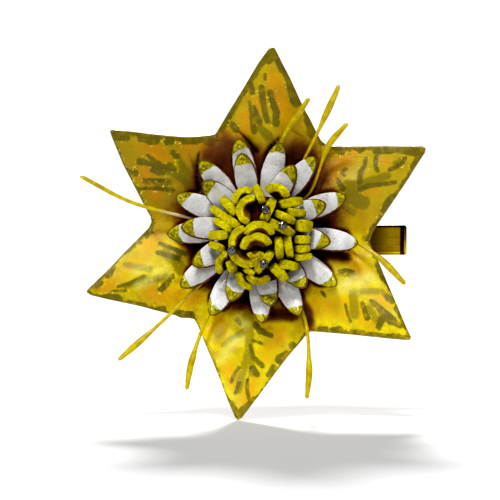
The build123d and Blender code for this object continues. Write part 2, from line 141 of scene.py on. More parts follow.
# Cut edge of the star: for each arm, tip to notch, then on from the notch to the next tip.
STAR_SIDES = [
    [
        (4.8, 60.6), (5.6, 60.1), (8.2, 55.0), (10.6, 50.5), (15.2, 40.6), (17.2, 37.2), (19.4, 32.8),
        (21.0, 29.9), (22.3, 28.8),
    ],
    [(22.3, 28.8), (24.0, 28.2), (30.0, 28.05), (40.0, 28.1), (50.0, 28.0), (54.6, 27.8), (55.6, 27.0)],
    [
        (55.6, 27.0), (55.3, 25.6), (52.0, 20.4), (50.0, 17.0), (45.0, 9.4), (40.2, 2.2), (38.2, -1.4),
        (37.4, -3.8),
    ],
    [(37.4, -3.8), (38.2, -6.0), (40.0, -10.0), (43.0, -17.4), (46.0, -24.4), (49.4, -32.6), (50.8, -35.6)],
    [(50.8, -35.6), (50.2, -36.6), (45.0, -36.3), (40.0, -35.8), (30.0, -34.9), (20.0, -34.2), (17.6, -34.1)],
    [
        (17.6, -34.1), (16.2, -35.2), (13.0, -39.0), (10.0, -42.3), (5.0, -48.8), (0.0, -55.5),
        (-5.4, -62.4), (-6.6, -63.1),
    ],
    [
        (-6.6, -63.1), (-7.6, -62.4), (-10.0, -57.0), (-12.6, -50.2), (-15.0, -44.4), (-18.6, -36.0),
        (-20.4, -31.6), (-21.4, -30.0),
    ],
    [
        (-21.4, -30.0), (-23.0, -29.6), (-26.0, -29.5), (-27.5, -28.7), (-35.0, -26.7), (-40.0, -25.3),
        (-50.0, -23.1), (-55.4, -21.7), (-57.0, -20.6),
    ],
    [
        (-57.0, -20.6), (-56.6, -19.7), (-50.0, -13.4), (-45.0, -8.0), (-40.0, -2.9), (-36.6, 0.6),
        (-35.7, 2.6),
    ],
    [(-35.7, 2.6), (-36.0, 4.4), (-37.6, 7.2), (-40.0, 12.0), (-45.0, 21.9), (-48.6, 31.0), (-49.1, 32.8)],
    [
        (-49.1, 32.8), (-48.2, 33.4), (-45.0, 33.05), (-40.0, 32.6), (-35.0, 32.0), (-30.0, 31.5),
        (-25.0, 31.15), (-20.0, 31.3), (-16.0, 31.8), (-14.4, 31.9),
    ],
    [(-14.4, 31.9), (-13.6, 33.0), (-10.0, 39.0), (-5.0, 47.0), (0.0, 55.3), (3.6, 60.2), (4.8, 60.6)],
]

# Each petal's direction in degrees and how far out its tip is.
UPPER_PETALS = [
    (103.0, 25.7), (60.8, 24.2), (21.9, 23.7), (-10.0, 24.0), (-50.0, 24.3),
    (-80.5, 25.3), (-112.0, 25.0), (-152.4, 24.3), (178.0, 25.2), (138.0, 24.0),
]
LOWER_PETALS = [
    (102.0, 30.7), (76.0, 29.7), (52.3, 30.5), (21.5, 31.0), (-8.0, 33.3), (-35.3, 31.7), (-63.4, 31.3),
    (-87.8, 30.7), (-118.6, 32.2), (-143.3, 31.7), (-178.0, 30.0), (157.2, 29.3), (129.6, 29.8),
]
UPPER_SHAPE = {"base": 1.25, "shoulder": 3.9, "behind": 9.0, "curl": 8.0}
LOWER_SHAPE = {"base": 1.05, "shoulder": 3.9, "behind": 10.5, "curl": 6.5}

# Each stamen's line, from under the petals to its tip.
STAMENS = [
    [(-11.2, 1.8), (-23.5, 4.2), (-42.2, 9.3), (-59.0, 18.0)],
    [(-8.3, -8.0), (-20.9, -19.8), (-32.8, -31.2), (-46.3, -43.1)],
    [(-5.8, -10.2), (-16.5, -28.3), (-21.8, -42.7), (-23.7, -52.9)],
    [(6.0, -10.0), (15.2, -28.5), (16.9, -44.7), (16.1, -55.9)],
    [(11.2, 0.6), (22.0, -2.2), (31.5, -3.7), (40.2, -9.2), (48.7, -18.0)],
    [(9.6, 6.4), (17.5, 12.8), (22.9, 27.1), (29.5, 35.4)],
    [(6.6, 9.6), (15.7, 24.2), (24.6, 42.9), (26.7, 48.0)],
    [(2.6, 11.2), (8.0, 29.7), (13.5, 38.6), (16.9, 43.7)],
]

CRYSTALS = [(2.5, 6.7), (8.0, 1.7), (-8.5, -6.7), (1.8, -10.9)]

# The loops of each node: two feet of an arch or three points of a curl, and its width.
LOOP_NODES = [
    [([(-5.6, -6.3), (-0.3, -1.3), (4.4, -4.6)], 2.6)],
    [([(-4.8, -1.2), (0.3, 2.5), (5.3, -1.3)], 2.4)],
    [([(-9.2, -6.6), (-5.2, -11.4), (0.9, -9.6)], 2.5), ([(-3.4, -7.4), (-0.8, -9.0), (1.4, -7.0)], 1.8)],
    [([(-4.6, 1.2), (-8.9, -2.2), (-8.9, -6.2)], 2.4), ([(-16.2, -1.8), (-9.4, -1.4)], 2.9)],
    [([(5.0, 10.2), (1.4, 2.6)], 3.0), ([(-0.9, 14.6), (1.8, 8.6)], 2.5)],
    [([(3.0, 3.3), (11.9, -1.4)], 2.8), ([(5.3, 5.8), (12.4, 2.7)], 2.5)],
    [([(4.8, -6.4), (-0.9, -14.0)], 2.9), ([(-4.8, -12.6), (-1.2, -14.2)], 2.0)],
    [([(-0.7, 11.0), (-6.7, 6.6), (-3.0, 1.9)], 2.5), ([(-7.9, 8.6), (-6.1, 13.2), (-1.6, 12.8)], 2.2)],
    [([(-15.4, 7.3), (-5.2, 0.6)], 2.5), ([(-12.0, 10.8), (-7.0, 4.8)], 2.7)],
    [([(-14.6, 3.5), (-8.0, -0.2)], 2.4), ([(-16.0, -4.4), (-10.8, -6.4)], 2.2)],
    [([(2.2, 13.2), (6.2, 14.8), (10.0, 10.6)], 2.7)],
    [([(7.0, 8.3), (14.5, 9.8)], 3.0), ([(9.2, 6.1), (15.4, 5.5)], 2.6)],
    [([(6.5, -1.6), (7.2, -9.8)], 2.6), ([(9.2, -1.0), (10.6, -9.2)], 2.6)],
    [([(12.2, 1.5), (17.8, 1.3)], 3.9), ([(11.9, -3.2), (17.2, -3.0)], 2.7)],
    [([(12.0, -6.2), (17.0, -6.0)], 2.4), ([(11.8, -9.0), (17.6, -8.6)], 2.4)],
    [([(6.4, -10.8), (13.5, -12.0)], 2.8), ([(3.9, -11.1), (9.6, -16.4)], 3.2)],
    [
        ([(-4.0, -14.9), (0.4, -17.4), (4.0, -15.4)], 2.4),
        ([(-6.7, -13.6), (-5.8, -17.6), (-1.8, -19.0)], 2.4),
    ],
    [([(-10.4, -6.8), (-13.4, -10.2), (-12.4, -14.6)], 2.3), ([(-9.2, -9.6), (-8.0, -14.0)], 3.3)],
]

# ---- paint on the star --------------------------------------------------------
# Width of the olive border along each of the star's sides.
SIDE_BANDS = [1.6, 1.8, 1.4, 0.8, 1.5, 0.7, 0.5, 1.3, 1.0, 0.9, 2.0, 1.5]

# Each brush stroke: its half width at the start and at the end, then its points.
DARK_STROKES = [
    # top arm
    (0.5, 0.4, [(2.3, 51.5), (2.3, 50.2)]),
    (0.95, 0.8, [(1.2, 47.2), (1.5, 42.8), (2.5, 38.0), (3.1, 36.2)]),
    (0.95, 1.1, [(4.0, 45.6), (4.6, 43.0), (6.0, 39.5), (5.9, 35.5)]),
    (0.35, 1.0, [(-2.8, 42.6), (-2.2, 38.0), (-1.3, 33.0)]),
    (0.3, 1.0, [(-1.2, 41.2), (-0.6, 38.5), (0.4, 36.0)]),
    (1.0, 0.8, [(-2.9, 49.0), (-1.8, 45.8)]),
    (1.9, 1.5, [(4.9, 58.6), (3.4, 56.6)]),
    (1.0, 1.2, [(5.6, 58.2), (7.0, 55.6)]),
    (0.9, 1.6, [(9.6, 51.0), (11.0, 46.5), (12.6, 42.5)]),
    (1.2, 1.9, [(16.6, 36.6), (18.0, 34.0), (18.4, 32.4)]),
    (1.0, 1.0, [(-8.4, 34.8), (-7.3, 33.4)]),
    (1.0, 1.4, [(-6.4, 44.0), (-9.0, 39.6), (-12.4, 34.4)]),
    # upper left arm
    (1.4, 1.0, [(-47.6, 31.2), (-43.5, 30.7)]),
    (0.9, 0.9, [(-39.0, 30.2), (-36.6, 29.9)]),
    (1.5, 1.3, [(-35.6, 29.8), (-34.0, 29.9)]),
    (1.2, 0.9, [(-30.2, 29.4), (-28.6, 29.6)]),
    (0.9, 0.9, [(-24.8, 29.6), (-20.6, 29.5)]),
    (0.6, 1.0, [(-17.6, 29.2), (-15.6, 28.8)]),
    (1.0, 0.7, [(-39.3, 22.8), (-36.5, 22.2), (-33.5, 20.9), (-31.0, 20.7)]),
    (0.5, 0.9, [(-36.6, 24.7), (-34.4, 22.9), (-31.6, 21.0), (-29.6, 20.6)]),
    (0.7, 0.9, [(-29.4, 21.8), (-28.4, 20.2)]),
    (0.9, 1.0, [(-28.3, 25.6), (-27.0, 24.4)]),
    (0.5, 0.7, [(-35.4, 19.8), (-33.0, 18.8), (-31.9, 18.9)]),
    (0.4, 0.6, [(-40.0, 13.8), (-34.0, 13.9), (-28.2, 13.2)]),
    (0.5, 1.0, [(-42.9, 19.5), (-40.9, 18.9)]),
    (0.35, 0.35, [(-38.2, 16.8), (-31.0, 16.6)]),
    # upper right arm
    (0.9, 1.0, [(39.0, 26.3), (43.5, 26.4)]),
    (0.8, 1.3, [(46.5, 26.6), (52.6, 25.6)]),
    (1.0, 0.9, [(53.0, 23.2), (51.2, 20.9)]),
    (0.5, 0.6, [(49.6, 17.4), (47.4, 14.2)]),
    (1.2, 1.5, [(45.2, 11.0), (43.2, 8.6), (42.6, 6.2)]),
    (0.65, 0.55, [(48.7, 23.9), (47.7, 22.2), (45.6, 20.8), (43.7, 20.1)]),
    (0.6, 0.5, [(39.3, 24.3), (39.0, 21.4), (39.7, 19.5)]),
    (0.45, 0.9, [(35.9, 23.9), (35.4, 21.2), (34.0, 19.0), (33.9, 16.0)]),
    (0.5, 0.75, [(45.6, 15.9), (42.0, 15.3), (36.4, 14.7), (33.8, 13.6)]),
    (0.4, 0.4, [(29.4, 20.3), (28.3, 19.9), (28.0, 18.9), (28.7, 18.2)]),
    (0.45, 0.9, [(26.4, 17.2), (27.2, 15.2), (28.2, 13.8)]),
    (0.35, 0.3, [(22.1, 17.0), (21.6, 15.6), (21.0, 13.4)]),
    (0.8, 1.6, [(26.0, 27.4), (27.6, 26.4)]),
    # lower right arm
    (0.9, 1.0, [(20.8, -33.2), (22.4, -33.3)]),
    (0.9, 1.1, [(24.6, -33.6), (27.2, -33.2)]),
    (0.8, 0.9, [(31.4, -34.0), (34.4, -34.2)]),
    (0.8, 0.7, [(37.0, -34.7), (42.0, -35.2)]),
    (0.9, 0.9, [(46.0, -35.7), (49.6, -35.8)]),
    (0.5, 0.6, [(39.4, -11.0), (40.2, -13.4), (41.6, -16.6)]),
    (1.2, 0.9, [(43.4, -22.6), (44.6, -23.6)]),
    (0.8, 0.6, [(46.0, -26.0), (47.4, -28.6), (48.6, -31.8)]),
    (0.6, 1.5, [(37.7, -23.6), (39.6, -25.2), (42.6, -28.4), (44.4, -30.0)]),
    (1.2, 0.7, [(44.4, -30.0), (47.0, -31.8)]),
    (1.4, 0.9, [(41.6, -28.4), (40.6, -30.6), (40.2, -32.3)]),
    (0.7, 0.8, [(34.7, -24.6), (35.6, -27.2), (36.3, -29.4)]),
    (0.35, 0.3, [(29.0, -24.8), (30.0, -28.4), (30.9, -30.5)]),
    (0.5, 0.4, [(27.0, -13.8), (29.4, -13.4), (31.6, -13.9)]),
    (0.5, 0.4, [(21.4, -20.8), (22.4, -22.2)]),
    # bottom arm
    (0.7, 0.5, [(-7.0, -29.8), (-5.8, -31.4)]),
    (1.0, 0.8, [(-0.9, -31.6), (0.6, -33.6), (4.2, -35.2)]),
    (0.5, 0.8, [(-2.6, -38.4), (-1.5, -42.6), (1.4, -45.2)]),
    (0.9, 0.9, [(-1.8, -46.0), (-0.4, -48.0)]),
    (0.45, 0.5, [(-6.4, -45.8), (-8.2, -48.6), (-9.0, -50.5)]),
    (0.4, 0.45, [(-6.2, -50.6), (-7.6, -54.2)]),
    (0.5, 0.5, [(-3.6, -50.0), (-3.7, -53.0), (-3.1, -56.0)]),
    (1.1, 1.1, [(11.4, -38.6), (12.2, -39.2)]),
    (1.0, 1.3, [(9.4, -41.4), (7.0, -43.2)]),
    (0.9, 0.8, [(5.0, -45.8), (3.6, -48.2)]),
    (0.9, 1.3, [(-9.0, -57.6), (-7.2, -61.2)]),
    (1.3, 0.8, [(-5.6, -60.4), (-3.2, -58.2), (-1.2, -56.2)]),
    (0.3, 0.35, [(-14.9, -43.2), (-14.4, -44.6)]),
    (0.4, 0.4, [(-2.0, -36.8), (1.2, -37.8)]),
    # lower left arm
    (0.55, 0.7, [(-32.7, -4.5), (-28.4, -6.4), (-24.0, -8.1)]),
    (0.65, 0.8, [(-33.6, -7.5), (-30.2, -8.4), (-26.6, -9.6)]),
    (0.4, 0.8, [(-46.4, -18.8), (-43.2, -17.9), (-40.6, -16.8), (-38.0, -15.6)]),
    (0.4, 0.35, [(-48.3, -20.3), (-44.0, -20.2)]),
    (1.0, 0.7, [(-32.4, -19.8), (-30.6, -18.0), (-28.6, -15.4)]),
    (1.1, 1.5, [(-48.6, -12.4), (-50.0, -14.6)]),
    (1.0, 1.1, [(-54.0, -18.4), (-52.6, -17.6)]),
    (1.6, 1.7, [(-49.2, -22.6), (-46.8, -23.0)]),
    (0.9, 1.2, [(-43.0, -24.2), (-38.0, -25.6)]),
    (1.0, 1.0, [(-32.6, -26.4), (-31.6, -26.6)]),
    (0.6, 0.5, [(-36.9, -1.2), (-37.2, -2.4)]),
    (0.5, 0.4, [(-35.6, 0.2), (-35.4, -0.8)]),
    (0.6, 0.4, [(-40.6, -4.0), (-39.2, -4.2)]),
    (1.1, 1.2, [(-28.0, -27.8), (-22.6, -28.6)]),
]

LIGHT_STROKES = [
    (1.3, 1.6, [(0.6, 34.0), (3.6, 31.0)]),
    (1.2, 1.9, [(-9.0, 40.0), (-11.0, 36.6)]),
    (0.6, 2.3, [(-27.0, 24.8), (-24.8, 20.8), (-22.6, 15.6)]),
    (0.6, 2.0, [(-35.0, 21.0), (-29.0, 19.4), (-24.0, 16.8)]),
    (0.9, 1.2, [(-38.0, 16.2), (-30.0, 15.6)]),
    (1.2, 2.2, [(43.0, 18.0), (38.0, 16.4), (34.0, 14.2), (30.0, 14.6)]),
    (2.6, 2.4, [(31.0, 11.0), (35.0, 9.0)]),
    (1.0, 1.2, [(27.4, 8.6), (31.6, 5.8)]),
    (0.8, 0.9, [(47.0, 23.2), (45.4, 22.0)]),
    (1.5, 1.7, [(31.6, -21.0), (32.2, -28.2)]),
    (1.1, 1.0, [(34.6, -20.4), (40.0, -20.4)]),
    (1.6, 1.3, [(37.0, -26.6), (39.4, -30.0)]),
    (0.9, 0.8, [(27.4, -14.6), (31.8, -14.8)]),
    (1.0, 0.9, [(41.4, -20.4), (42.0, -21.4)]),
    (2.0, 1.4, [(-3.4, -28.8), (-2.8, -35.0), (-3.0, -41.0)]),
    (1.5, 1.3, [(-3.2, -41.0), (-5.0, -46.4), (-6.6, -53.0)]),
    (1.0, 1.3, [(-2.6, -41.0), (-1.6, -47.6)]),
    (1.2, 0.9, [(-4.0, -33.4), (-8.6, -36.0), (-11.6, -38.2)]),
    (1.6, 2.2, [(-31.0, -7.6), (-27.6, -10.4), (-25.6, -13.2)]),
    (0.9, 1.2, [(-44.0, -18.8), (-37.0, -17.0), (-31.0, -15.6)]),
    (0.9, 1.1, [(-44.0, -11.6), (-36.0, -13.0)]),
    (1.3, 1.2, [(36.0, -2.8), (37.2, -4.0)]),
]

# Painted highlights: cream patches in the base colour, where the lacquer shines.
PAINTED_HIGHLIGHTS = [
    (1.5, 1.0, [(28.4, -18.8), (31.4, -18.6), (34.8, -18.0)]),
    (0.7, 0.5, [(33.0, -15.6), (37.6, -16.2)]),
    (0.7, 1.1, [(-6.4, -36.2), (-9.2, -38.6), (-12.0, -42.6)]),
    (0.8, 0.5, [(-6.6, -29.4), (-4.4, -31.4)]),
    (1.3, 0.8, [(-31.0, -13.6), (-34.6, -14.0)]),
    (0.5, 0.4, [(-41.0, -14.0), (-36.4, -12.8)]),
    (0.5, 0.4, [(-39.6, -18.2), (-35.4, -16.4)]),
    (0.4, 0.4, [(-14.0, -36.2), (-12.4, -33.0)]),
]

# Painted shadows: dark strokes in the base colour, where petals throw shade.
PETAL_SHADOW_STROKES = [
    (1.8, 0.8, [(13.0, -24.0), (16.4, -28.0), (17.0, -31.6)]),
    (1.4, 1.2, [(20.0, -7.4), (29.0, -8.8)]),
    (1.6, 1.0, [(2.0, -28.0), (12.0, -28.6)]),
]

ORANGE_WASHES = [
    (1.8, 1.6, [(5.2, 50.0), (7.6, 42.0), (10.4, 37.0)]),
    (1.2, 0.8, [(-0.2, 43.0), (0.8, 39.4)]),
    (1.6, 2.0, [(-4.2, 38.0), (-4.6, 34.0), (-9.0, 31.0)]),
    (2.0, 2.4, [(-38.4, 27.6), (-31.6, 24.6)]),
    (1.8, 2.2, [(-24.4, 26.4), (-16.6, 26.4)]),
    (2.0, 2.0, [(-37.6, 18.4), (-34.0, 12.4)]),
    (1.3, 1.2, [(42.2, 22.6), (43.6, 22.0)]),
    (2.6, 2.6, [(24.0, 19.0), (30.6, 24.6)]),
    (1.2, 1.0, [(36.4, 13.0), (39.0, 12.8)]),
    (2.4, 2.6, [(32.6, -10.4), (34.4, -13.0)]),
    (1.6, 1.6, [(40.4, -23.2), (42.2, -25.4)]),
    (2.6, 3.0, [(20.4, -25.6), (28.0, -26.0)]),
    (1.2, 1.3, [(33.4, -26.0), (34.6, -29.6), (38.2, -31.4)]),
    (2.8, 2.0, [(-13.8, -32.2), (-12.6, -36.0)]),
    (2.4, 2.0, [(7.4, -35.0), (3.0, -41.8)]),
    (1.6, 1.4, [(-9.4, -45.8), (-7.6, -51.4)]),
    (1.6, 1.2, [(-4.8, -56.8), (-0.8, -49.6)]),
    (1.8, 1.6, [(-34.6, -3.6), (-38.0, -9.0), (-45.0, -14.4), (-51.0, -19.6)]),
    (2.4, 2.6, [(-36.0, -20.6), (-28.0, -22.6)]),
    (1.2, 1.0, [(-24.0, -24.6), (-20.0, -22.6)]),
]

# Darts and slits: half width at the start and end, depth, then points.
FOLDS = [
    (0.12, 0.75, 1.3, [(-19.7, 25.6), (-20.0, 21.6), (-20.4, 17.6), (-19.6, 13.4)]),
    (0.14, 0.2, 0.5, [(-22.8, 25.2), (-21.4, 20.8)]),
    (0.2, 0.9, 0.9, [(-6.2, 32.6), (-3.2, 29.4), (-0.6, 26.0)]),
    (0.2, 0.9, 0.9, [(7.0, 30.6), (4.2, 27.2)]),
    (0.15, 0.25, 0.5, [(22.1, 17.0), (20.6, 13.0)]),
    (0.12, 0.25, 0.35, [(10.0, 34.0), (14.6, 31.0)]),
    (0.15, 0.3, 0.4, [(-2.4, -45.6), (-3.4, -50.4)]),
]

# Gentle local swellings of the leather: place, spread along and across, turn, height.
SWELLS = [
    (31.0, -18.6, 3.4, 1.7, 5.0, 0.85),
    (29.6, -11.6, 3.4, 1.6, 8.0, 0.5),
    (-9.4, -40.6, 3.6, 1.6, 52.0, 0.9),
    (-5.0, -30.2, 2.2, 1.6, 30.0, 0.6),
    (-32.2, -14.2, 1.8, 1.4, 10.0, 0.7),
    (-36.0, -12.0, 4.0, 0.9, 14.0, 0.35),
    (-35.0, -16.8, 3.6, 0.9, 12.0, 0.35),
    (-12.6, -36.6, 2.2, 3.0, 20.0, 0.5),
    (31.6, 16.4, 2.4, 1.4, 10.0, 0.45),
    (26.2, 14.6, 0.8, 2.0, 0.0, 0.5),
    (36.4, -9.6, 2.0, 1.6, 0.0, 0.5),
    (-34.2, 1.6, 0.9, 1.1, 20.0, 0.5),
    (-30.2, 17.2, 3.4, 0.8, 4.0, 0.3),
    (-21.8, 21.4, 0.7, 2.8, 14.0, 0.6),
]


# ---- small helpers ------------------------------------------------------------
def smoothstep(low, high, value):
    share = np.clip((value - low) / (high - low), 0.0, 1.0)
    return share * share * (3.0 - 2.0 * share)


def flower_to_row(points):
    """Flower frame in millimetres to the row frame in metres."""
    points = np.asarray(points, float).reshape(-1, 3)
    row = np.empty_like(points)
    row[:, 0] = CENTRE_X + points[:, 0] * MM
    row[:, 1] = STAR_BACK_Y - points[:, 2] * MM
    row[:, 2] = CENTRE_Z + points[:, 1] * MM
    return row


def turned(points, angle_deg):
    """Points in the flower frame turned about the flower's axis."""
    angle = math.radians(angle_deg)
    c, s = math.cos(angle), math.sin(angle)
    out = np.array(points, float)
    out[:, 0] = c * points[:, 0] - s * points[:, 1]
    out[:, 1] = s * points[:, 0] + c * points[:, 1]
    return out


def noise_at(points, size, seed=0.0):
    """Smooth noise from -1 to 1 at each point, with features about one size across."""
    shift = Vector((seed * 7.3, seed * 3.1, seed * 5.7))
    return np.array([noise.noise(Vector(p) / size + shift) for p in np.asarray(points, float)])


def shaken(points, size, seed, amount):
    """Points moved by smooth noise in all three directions."""
    return points + amount * np.stack([noise_at(points, size, seed + k) for k in range(3)], axis=1)


def turn_faces_outward(obj):
    mesh = bmesh.new()
    mesh.from_mesh(obj.data)
    bmesh.ops.recalc_face_normals(mesh, faces=mesh.faces)
    mesh.to_mesh(obj.data)
    mesh.free()


def make_piece(
    name, points, faces, materials, nodes, body="flower", values=None, kinds=None, smooth=True, levels=0
):
    """A mesh in row-frame metres as a named piece on its body; kinds says which material each face has."""
    mesh = bpy.data.meshes.new(name)
    mesh.from_pydata(np.asarray(points).tolist(), [], faces)
    mesh.update()
    for mat in materials:
        mesh.materials.append(mat)
    for key, numbers in (values or {}).items():
        layer = mesh.attributes.new(key, "FLOAT", "POINT")
        layer.data.foreach_set("value", np.asarray(numbers, np.float32))
    if kinds is not None:
        mesh.polygons.foreach_set("material_index", np.asarray(kinds, np.int32))
    mesh.polygons.foreach_set("use_smooth", np.full(len(mesh.polygons), smooth))
    obj = bpy.data.objects.new(name, mesh)
    bpy.context.scene.collection.objects.link(obj)
    if body is not None:
        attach(obj, body)
    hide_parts(*nodes)
    turn_faces_outward(obj)
    if levels:
        modifier = obj.modifiers.new("Smooth", "SUBSURF")
        modifier.levels = levels
        modifier.render_levels = levels
    return obj


def segment_field(points, strokes):
    """Signed distance from flat points to a set of tapered brush strokes, in millimetres."""
    field = np.full(len(points), 99.0)
    for start_r, end_r, line in strokes:
        line = np.array(line, float)
        runs = np.hypot(*(line[1:] - line[:-1]).T)
        total = runs.sum()
        done = 0.0
        for start, end, run in zip(line[:-1], line[1:], runs):
            along = np.clip(((points - start) @ (end - start)) / run**2, 0.0, 1.0)
            nearest = start + along[:, None] * (end - start)
            share = (done + along * run) / total
            radius = start_r + share * (end_r - start_r)
            gap = np.hypot(*(points - nearest).T) - radius
            field = np.minimum(field, gap)
            done += run
    return field


def resample(line, count):
    """Points evenly spaced by length along a line."""
    line = np.array(line, float)
    runs = np.hypot(*(line[1:] - line[:-1]).T)
    length = np.concatenate([[0.0], np.cumsum(runs)])
    wanted = np.linspace(0.0, length[-1], count)
    return np.stack([np.interp(wanted, length, line[:, k]) for k in range(line.shape[1])], axis=1)


def tube_faces(rows, columns):
    """Quads of a tube of rings, with a flat cap at each end."""
    faces = []
    for i in range(rows - 1):
        for j in range(columns):
            k = (j + 1) % columns
            faces.append((i * columns + j, i * columns + k, (i + 1) * columns + k, (i + 1) * columns + j))
    faces.append(tuple(reversed(range(columns))))
    faces.append(tuple(range((rows - 1) * columns, rows * columns)))
    return faces


def joined(parts):
    """Several pairs of points and faces as one pair."""
    points, faces = [], []
    base = 0
    for part_points, part_faces in parts:
        points.append(part_points)
        faces += [tuple(i + base for i in face) for face in part_faces]
        base += len(part_points)
    return np.vstack(points), faces


def rounded_ring(half_width, half_height, corner, per_corner, per_side):
    """A rounded rectangle as a closed ring of points, counter-clockwise."""
    corner = min(corner, half_width * 0.98, half_height * 0.98)
    centres = [(1, -1), (1, 1), (-1, 1), (-1, -1)]
    ring = []
    for index, (sx, sy) in enumerate(centres):
        cx, cy = sx * (half_width - corner), sy * (half_height - corner)
        start = -90.0 + 90.0 * index
        for step in range(per_corner + 1):
            angle = math.radians(start + 90.0 * step / per_corner)
            ring.append((cx + corner * math.cos(angle), cy + corner * math.sin(angle)))
        next_sx, next_sy = centres[(index + 1) % 4]
        ax, ay = ring[-1]
        bx = next_sx * (half_width - corner) + corner * math.cos(angle)
        by = next_sy * (half_height - corner) + corner * math.sin(angle)
        for step in range(1, per_side):
            share = step / per_side
            ring.append((ax + share * (bx - ax), ay + share * (by - ay)))
    return np.array(ring)


# ---- materials ----------------------------------------------------------------
def srgb(red, green, blue):
    """An 8-bit display colour as the linear colour that nodes take."""
    linear = []
    for channel in (red, green, blue):
        value = channel / 255.0
        linear.append(value / 12.92 if value <= 0.04045 else ((value + 0.055) / 1.055) ** 2.4)
    return (*linear, 1.0)


class Paint:
    """One node material, with short calls for the nodes it needs."""

    def __init__(self, name, **sockets):
        self.mat = bpy.data.materials.new(name)
        self.mat.use_nodes = True
        self.tree = self.mat.node_tree
        self.tree.nodes.clear()
        out = self.node("OutputMaterial")
        self.shader = self.node("BsdfPrincipled", **sockets)
        self.tree.links.new(self.shader.outputs[0], out.inputs[0])
        self.coords = self.node("TexCoord").outputs["Object"]

    def put(self, socket, value):
        """Links a node output to a socket, or sets the socket to a plain value."""
        if isinstance(value, bpy.types.NodeSocket):
            self.tree.links.new(value, socket)
        else:
            socket.default_value = value

    def node(self, kind, **inputs):
        """A new node with its inputs set; an underscore stands for a space in their names."""
        node = self.tree.nodes.new("ShaderNode" + kind)
        for key, value in inputs.items():
            self.put(node.inputs[key.replace("_", " ")], value)
        return node

    def set(self, name, value):
        self.put(self.shader.inputs[name], value)

    def noise(self, size_mm, detail=3.0, rough=0.55, distortion=0.0, stretch=None):
        """Noise from 0 to 1; stretch is a rotation and a scale of its space."""
        place = self.coords
        if stretch is not None:
            place = self.node("Mapping", Rotation=stretch[0], Scale=stretch[1], Vector=place).outputs[0]
        node = self.node("TexNoise", Scale=1000.0 / size_mm, Detail=detail, Roughness=rough, Vector=place)
        node.inputs["Distortion"].default_value = distortion
        return node.outputs["Fac"]

    def cells(self, size_mm):
        """Distance to the nearest of a scatter of points about one size apart."""
        return self.node("TexVoronoi", Scale=1000.0 / size_mm, Vector=self.coords).outputs["Distance"]

    def value(self, name):
        """A number that the mesh holds at each point."""
        node = self.node("Attribute")
        node.attribute_name = name
        return node.outputs["Fac"]

    def math(self, kind, a, b=0.0, c=0.0):
        node = self.node("Math")
        node.operation = kind
        for socket, value in zip(node.inputs, (a, b, c)):
            self.put(socket, value)
        return node.outputs[0]

    def times(self, a, b):
        return self.math("MULTIPLY", a, b)

    def plus(self, a, b):
        return self.math("ADD", a, b)

    def times_plus(self, a, b, c):
        return self.math("MULTIPLY_ADD", a, b, c)

    def step(self, value, low, high, to_low=0.0, to_high=1.0):
        """Smooth change from to_low to to_high as value goes from low to high."""
        if low > high:
            low, high, to_low, to_high = high, low, to_high, to_low
        node = self.node("MapRange", Value=value, From_Min=low, From_Max=high, To_Min=to_low, To_Max=to_high)
        node.interpolation_type = "SMOOTHSTEP"
        return node.outputs["Result"]

    def mix(self, share, a, b, kind="MIX"):
        node = self.node("Mix")
        node.data_type = "RGBA"
        node.blend_type = kind
        self.put(node.inputs[0], share)
        self.put(node.inputs[6], a)
        self.put(node.inputs[7], b)
        return node.outputs[2]

    def tones(self, value, low, high, first, second):
        """The first display colour where value is low, and the second where it is high."""
        return self.mix(self.step(value, low, high), srgb(*first), srgb(*second))

    def grain(self, base, value, depth, floor):
        """The base colour darkened by floor plus depth times the value."""
        return self.mix(1.0, base, self.times_plus(value, depth, floor), "MULTIPLY")

    def bump(self, height, depth_mm, strength, normal=None):
        node = self.node("Bump", Strength=strength, Distance=depth_mm * MM, Height=height)
        if normal is not None:
            self.tree.links.new(normal, node.inputs["Normal"])
        return node.outputs[0]


YELLOW = srgb(224, 196, 1)
BRIGHT = srgb(250, 226, 1)
OCHRE = srgb(192, 152, 1)
ORANGE = srgb(240, 168, 1)
OLIVE = srgb(108, 98, 1)
OLIVE_LIGHT = srgb(150, 136, 1)
UMBER = srgb(112, 60, 1)
MAROON = srgb(34, 9, 1)
CREAM = srgb(238, 226, 60)


